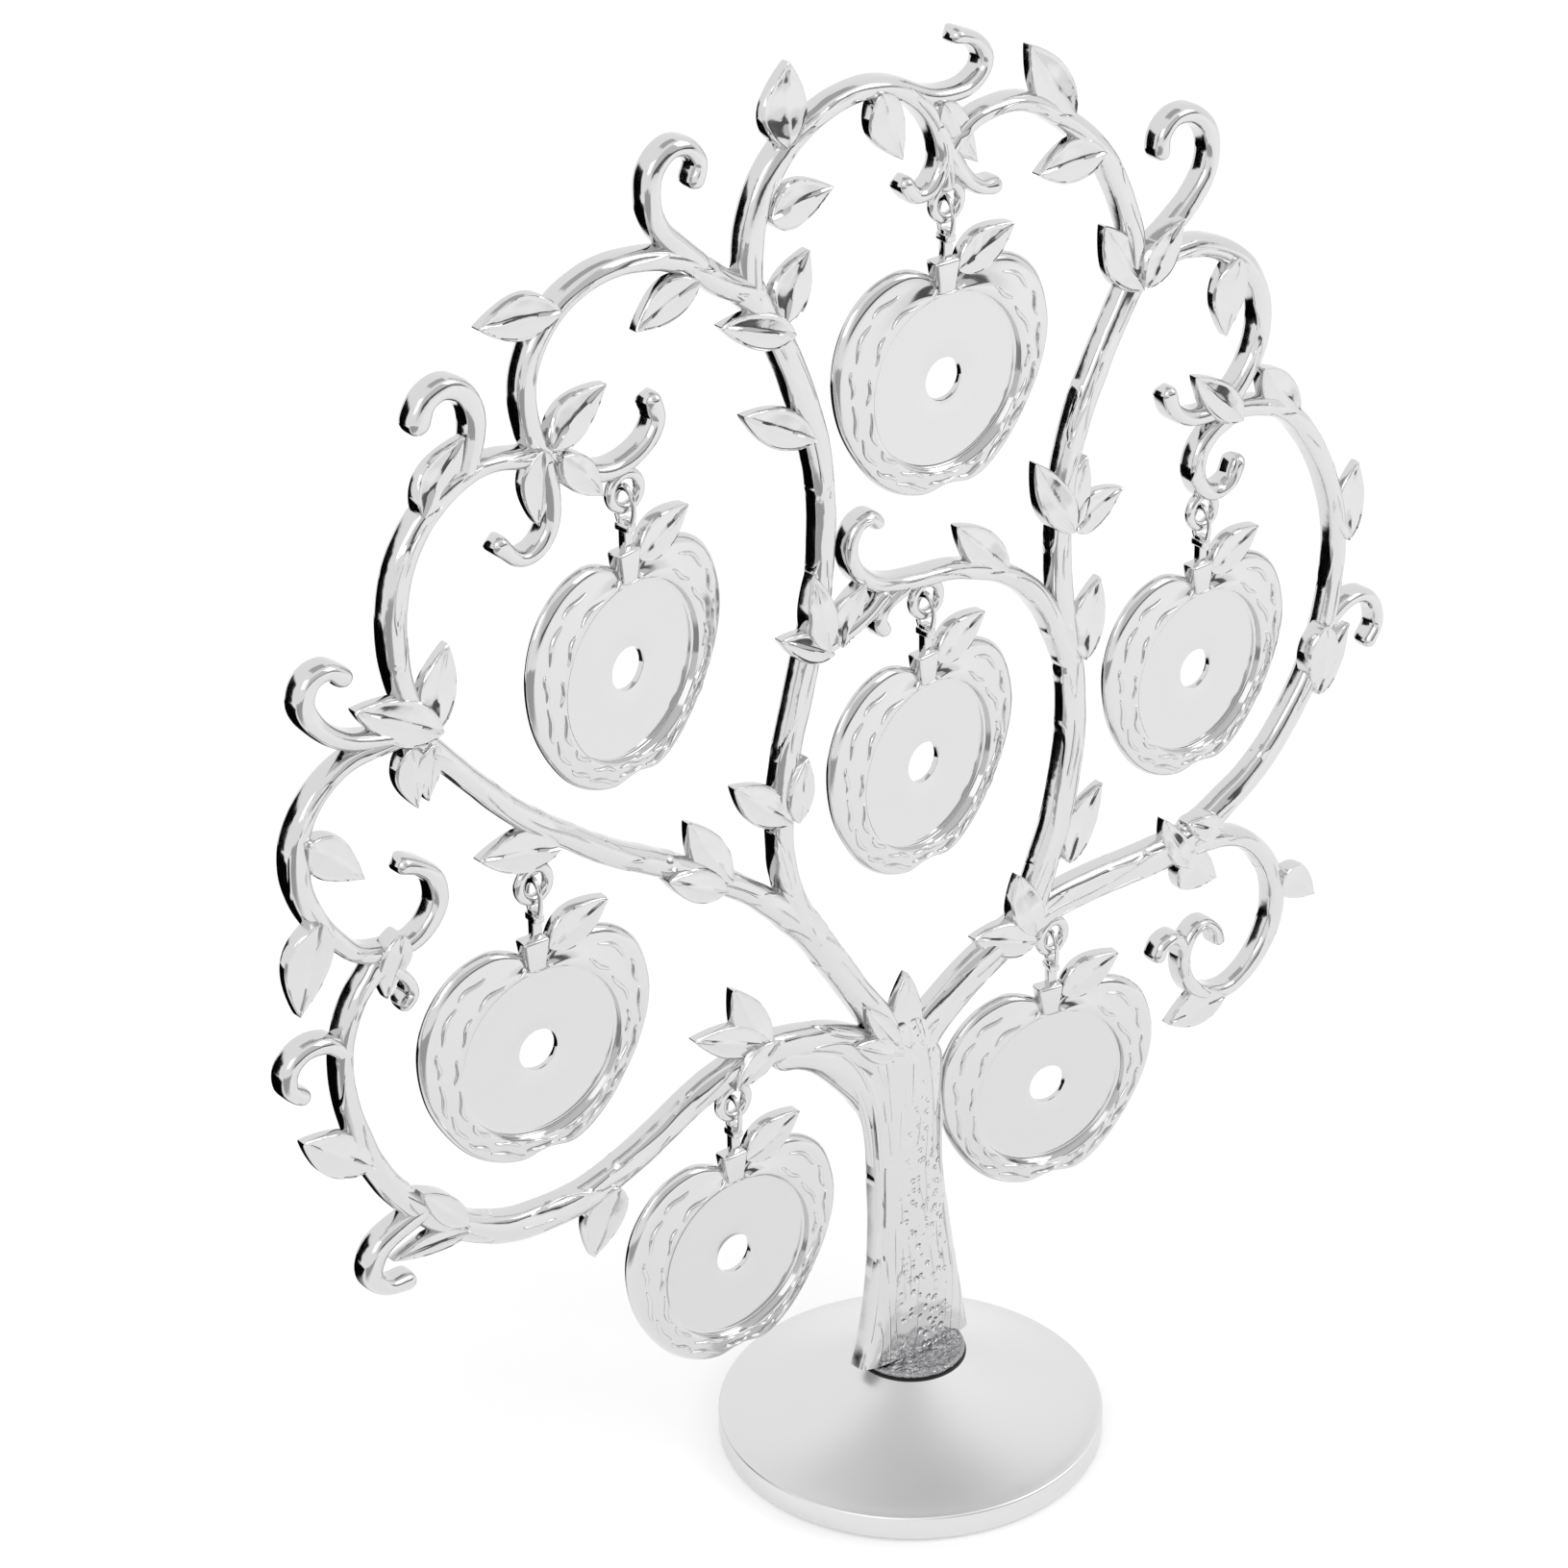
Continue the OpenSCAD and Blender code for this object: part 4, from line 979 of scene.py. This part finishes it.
class PHOTOTREE_OT_base(bpy.types.Operator):
    """Turn the round base, and give the felt pad and the screw their finishes"""
    bl_idname = "phototree.base"
    bl_label = "Base, felt pad and screw"

    def execute(self, context):
        # A disc whose rounded rim stands from the felt up to low, and whose top sweeps up to foot
        rim, foot, low, top = BASE_RADIUS, 12.2, 6.4, BASE_TOP
        lip, bottom, sweep = 0.8, 0.4, 1.25
        profile = [(rim - lip + lip * math.sin(a), bottom + lip - lip * math.cos(a))
                   for a in np.radians((0, 20, 40, 60, 80, 90))]
        profile += [(rim - lip + lip * math.cos(a), low - lip + lip * math.sin(a))
                    for a in np.radians((0, 15, 30, 45, 60, 72))]
        edge_radius, edge_height = profile[-1]
        profile += [(edge_radius + (foot - edge_radius) * t,
                     edge_height + (top - edge_height) * t ** sweep)
                    for t in np.linspace(0, 1, 25)[1:]]
        base = one_piece("base_turned", [plated(turned(profile, 192), satin_turned)], 30)
        stand_in(base, "base")
        for node, finish in (("felt_pad", pressed_felt), ("screw", zinc_plated)):
            frame["nodes"][node].data.materials.clear()
            frame["nodes"][node].data.materials.append(shared(finish))
        return {"FINISHED"}


class PHOTOTREE_OT_trunk(bpy.types.Operator):
    """Cast the trunk, with its flared foot and the foot disc under it"""
    bl_idname = "phototree.trunk"
    bl_label = "Trunk"

    def execute(self, context):
        # The foot disc, and under it a black ring of painted shadow for the gap to the base, as
        # radii and heights
        disc = [(11.9, 21.4), (12.15, 21.5), (12.2, 21.7), (12.2, 22.0), (12.0, 22.3),
                (11.6, 22.5), (11.3, 22.45)]
        gap_shadow_ring = [(12.5, 20.4), (12.5, 20.9), (12.0, 21.1), (12.0, 21.5)]
        parts = [plated(limb(TRUNK_LINE, 40.0, TRUNK_SECTION, True), trunk_plate),
                 plated(limb(TRUNK_ARCH, 41.0, LIMB_SECTION), leaf_plate),
                 *[plated(trunk_rib(*rib), leaf_plate) for rib in TRUNK_RIBS],
                 plated(turned(disc, 96), foot_plate_painted_reflection), plated(turned(gap_shadow_ring, 96), painted_gap_shadow)]
        stand_in(one_piece("trunk_cast", parts), "trunk")
        return {"FINISHED"}


class PHOTOTREE_OT_boughs(bpy.types.Operator):
    """Cast the boughs, branches, arches and curls, with their leaves and eyes"""
    bl_idname = "phototree.boughs"
    bl_label = "Boughs and leaves"

    def execute(self, context):
        for number, (node, (limbs, leaves)) in enumerate(CAST_PIECES.items()):
            parts = [plated(limb(points, 3.7 * number + 1.3 * k,
                                 TAB_SECTION if name == "eye_tab" else LIMB_SECTION),
                            leaf_plate if "curl" in name else bough_plate)
                     for k, (name, points) in enumerate(limbs.items())]
            for k, (foot, tip, width) in enumerate(leaves):
                foot, tip = tree_point(*foot), tree_point(*tip)
                parts.append(plated(leaf(foot, tip, width, back=0.3, edge=-1.5,
                                         seed=number + 0.31 * k, lifts=leaf_lift(foot, tip)),
                                    leaf_plate))
            parts += [plated(ring(EYE_RADIUS, EYE_WIRE,
                                  (pivot.x / MM, 0, pivot.z / MM + EYE_RADIUS)), leaf_plate)
                      for (pivot, _), carrier in zip(hinges(), EYE_CARRIERS) if carrier == node]
            stand_in(one_piece(node + "_cast", parts), node)
        return {"FINISHED"}


class PHOTOTREE_OT_pendants(bpy.types.Operator):
    """Model one apple and one hanger, and hang a copy of both from each eye"""
    bl_idname = "phototree.pendants"
    bl_label = "Apple pendants"

    def execute(self, context):
        apple, hanger = apple_model(), hanger_model()
        for number, hinge in enumerate(hinges(), 1):
            body = "pendant_%d" % number
            stand_in(hung_copy(apple, "apple_%d_cast" % number, hinge, HOLE_DROP, STRAP_OFFSET),
                     "apple_%d" % number, body=body)
            stand_in(hung_copy(hanger, "hanger_%d_cast" % number, hinge),
                     "hanger_%d" % number, body=body)
        bpy.data.objects.remove(apple)
        bpy.data.objects.remove(hanger)
        return {"FINISHED"}


def card(name, shade, centre, size, tilt=0.0):
    """A card that only the metal's reflections see: its centre and size in mm, lying flat or
    tilted up about X. Its edges fade out, as those of a card out of focus do."""
    thing = added(bpy.ops.mesh.primitive_plane_add, size=1.0, rotation=(math.radians(tilt), 0, 0),
                  location=[c * MM for c in centre])
    thing.name = name
    thing.scale = (size[0] * MM, size[1] * MM, 1.0)
    material, tree, at = empty_material(name + "_card")
    off = add_node(tree, "VectorMath", {0: at["Object"]}, operation="ABSOLUTE")
    sides = add_node(tree, "SeparateXYZ", {"Vector": off}).outputs
    furthest = add_node(tree, "Math", {0: sides["X"], 1: sides["Y"]}, operation="MAXIMUM")
    thing.data.materials.append(surfaced(material, "MixShader", {
        0: add_node(tree, "MapRange", {"Value": furthest, "From Min": 0.40, "From Max": 0.5},
                    interpolation_type="SMOOTHSTEP"),
        1: add_node(tree, "Emission", {"Color": linear(shade), "Strength": 1.0}),
        2: add_node(tree, "BsdfTransparent")}))
    thing.visible_camera = False
    thing.visible_diffuse = False
    thing.visible_shadow = False


def soft_light(name, place, aim, size, power):
    """A square soft box at a place in mm, aimed at another."""
    light = added(bpy.ops.object.light_add, type="AREA", location=[c * MM for c in place])
    light.name = name
    light.data.size = size * MM
    light.data.energy = power
    direction = Vector(aim) - Vector(place)
    light.rotation_euler = direction.to_track_quat("-Z", "Y").to_euler()


def seen_directly(tree):
    """1 for what the camera sees, straight, in metal or through glass, and 0 for other rays."""
    path = add_node(tree, "LightPath").outputs
    seen = path["Is Camera Ray"]
    for ray in ("Is Glossy Ray", "Is Transmission Ray"):
        seen = add_node(tree, "Math", {0: seen, 1: path[ray]}, operation="MAXIMUM")
    return seen


def white_floor():
    """White sweep paper: the camera sees it white, with the object's shadow kept on it."""
    material, tree, at = empty_material("paper_white_sweep")
    glow = add_node(tree, "Math", {0: seen_directly(tree), 1: FLOOR_GLOW}, operation="MULTIPLY")
    grain = add_node(tree, "TexNoise", {"Vector": at["Object"], "Scale": 1 / (2.0 * MM)})
    paper = add_node(tree, "Bump", {"Height": grain, "Distance": 0.02 * MM, "Strength": 0.2})
    return surfaced(material, "AddShader", {
        0: add_node(tree, "BsdfDiffuse", {"Color": linear("F2F2F2"), "Normal": paper}),
        1: add_node(tree, "Emission", {"Strength": glow})})


def white_world():
    """An even pale surround."""
    world = bpy.data.worlds.new("pale_surround")
    world.use_nodes = True
    tree = world.node_tree
    tree.nodes.clear()
    strength = add_node(tree, "MapRange", {
        "Value": seen_directly(tree), "To Min": WORLD_LIGHT, "To Max": 1.0})
    add_node(tree, "OutputWorld", {"Surface": add_node(tree, "Background", {
        "Color": (1.0, 1.0, 1.0, 1.0), "Strength": strength})})
    bpy.context.scene.world = world


class PHOTOTREE_OT_stage(bpy.types.Operator):
    """Set out the white floor, the soft lights, the studio cards and the camera"""
    bl_idname = "phototree.stage"
    bl_label = "Stage"

    def execute(self, context):
        floor = added(bpy.ops.mesh.primitive_plane_add, size=12.0)
        floor.name = "floor"
        floor.data.materials.append(white_floor())
        white_world()
        soft_light("key_front_right", (900, -900, 1100), (0, 0, 150), 700, 3.5)
        soft_light("fill_left", (-1100, -500, 1000), (0, 0, 150), 700, 1.5)
        # Black cards on the floor and upright at the back left, and a dark strip far in front,
        # draw the edges. Grey ones shade what leans left, up or to the front.
        card("black_card_left", "040404", (-350, 335, 3), (680, 560))
        card("black_card_upright", "060606", (-600, 560, 230), (520, 720), 90)
        card("dark_strip_front", "585858", (700, -1500, 330), (2600, 330), 90)
        card("grey_wall_front", "D8D8D8", (700, -1520, 1100), (3600, 1900), 90)
        card("grey_card_left", "B0B0B0", (-750, -470, 2), (1100, 1060))
        card("grey_card_overhead", "BABABA", (180, 220, 1400), (1000, 1000))
        camera_data = bpy.data.cameras.new("camera")
        camera = bpy.data.objects.new("camera", camera_data)
        context.scene.collection.objects.link(camera)
        camera_data.lens = CAMERA_LENS
        camera_data.sensor_width = CAMERA_SENSOR
        azimuth, elevation = math.radians(CAMERA_AZIMUTH), math.radians(CAMERA_ELEVATION)
        back = Vector((math.sin(azimuth) * math.cos(elevation),
                       -math.cos(azimuth) * math.cos(elevation), math.sin(elevation)))
        camera.location = (Vector(CAMERA_TARGET) + back * CAMERA_DISTANCE) * MM
        level = back.to_track_quat("Z", "Y").to_matrix()
        roll = Matrix.Rotation(math.radians(CAMERA_ROLL), 3, "Z")
        camera.rotation_euler = (level @ roll).to_euler()
        context.scene.camera = camera
        context.scene.view_settings.view_transform = "Standard"
        return {"FINISHED"}


STEPS = (PHOTOTREE_OT_base, PHOTOTREE_OT_trunk, PHOTOTREE_OT_boughs, PHOTOTREE_OT_pendants,
         PHOTOTREE_OT_stage)


class PHOTOTREE_PT_sidebar(bpy.types.Panel):
    """Lists the steps that make the photo tree"""
    bl_idname = "PHOTOTREE_PT_sidebar"
    bl_label = "Photo Tree"
    bl_space_type = "VIEW_3D"
    bl_region_type = "UI"
    bl_category = "Photo Tree"

    def draw(self, context):
        for group in (context.scene.photo_tree_relief, context.scene.photo_tree_finish):
            box = self.layout.box()
            for name in group.__annotations__:
                box.prop(group, name)
        for step in STEPS:
            self.layout.operator(step.bl_idname)


CLASSES = (PhotoTreeRelief, PhotoTreeFinish, *STEPS, PHOTOTREE_PT_sidebar)


def register():
    for cls in CLASSES:
        bpy.utils.register_class(cls)
    bpy.types.Scene.photo_tree_relief = bpy.props.PointerProperty(type=PhotoTreeRelief)
    bpy.types.Scene.photo_tree_finish = bpy.props.PointerProperty(type=PhotoTreeFinish)


def unregister():
    del bpy.types.Scene.photo_tree_finish
    del bpy.types.Scene.photo_tree_relief
    for cls in reversed(CLASSES):
        bpy.utils.unregister_class(cls)


def main():
    register()
    bpy.ops.phototree.base()
    bpy.ops.phototree.trunk()
    bpy.ops.phototree.boughs()
    bpy.ops.phototree.pendants()
    bpy.ops.phototree.stage()


if __name__ == "__main__":
    main()
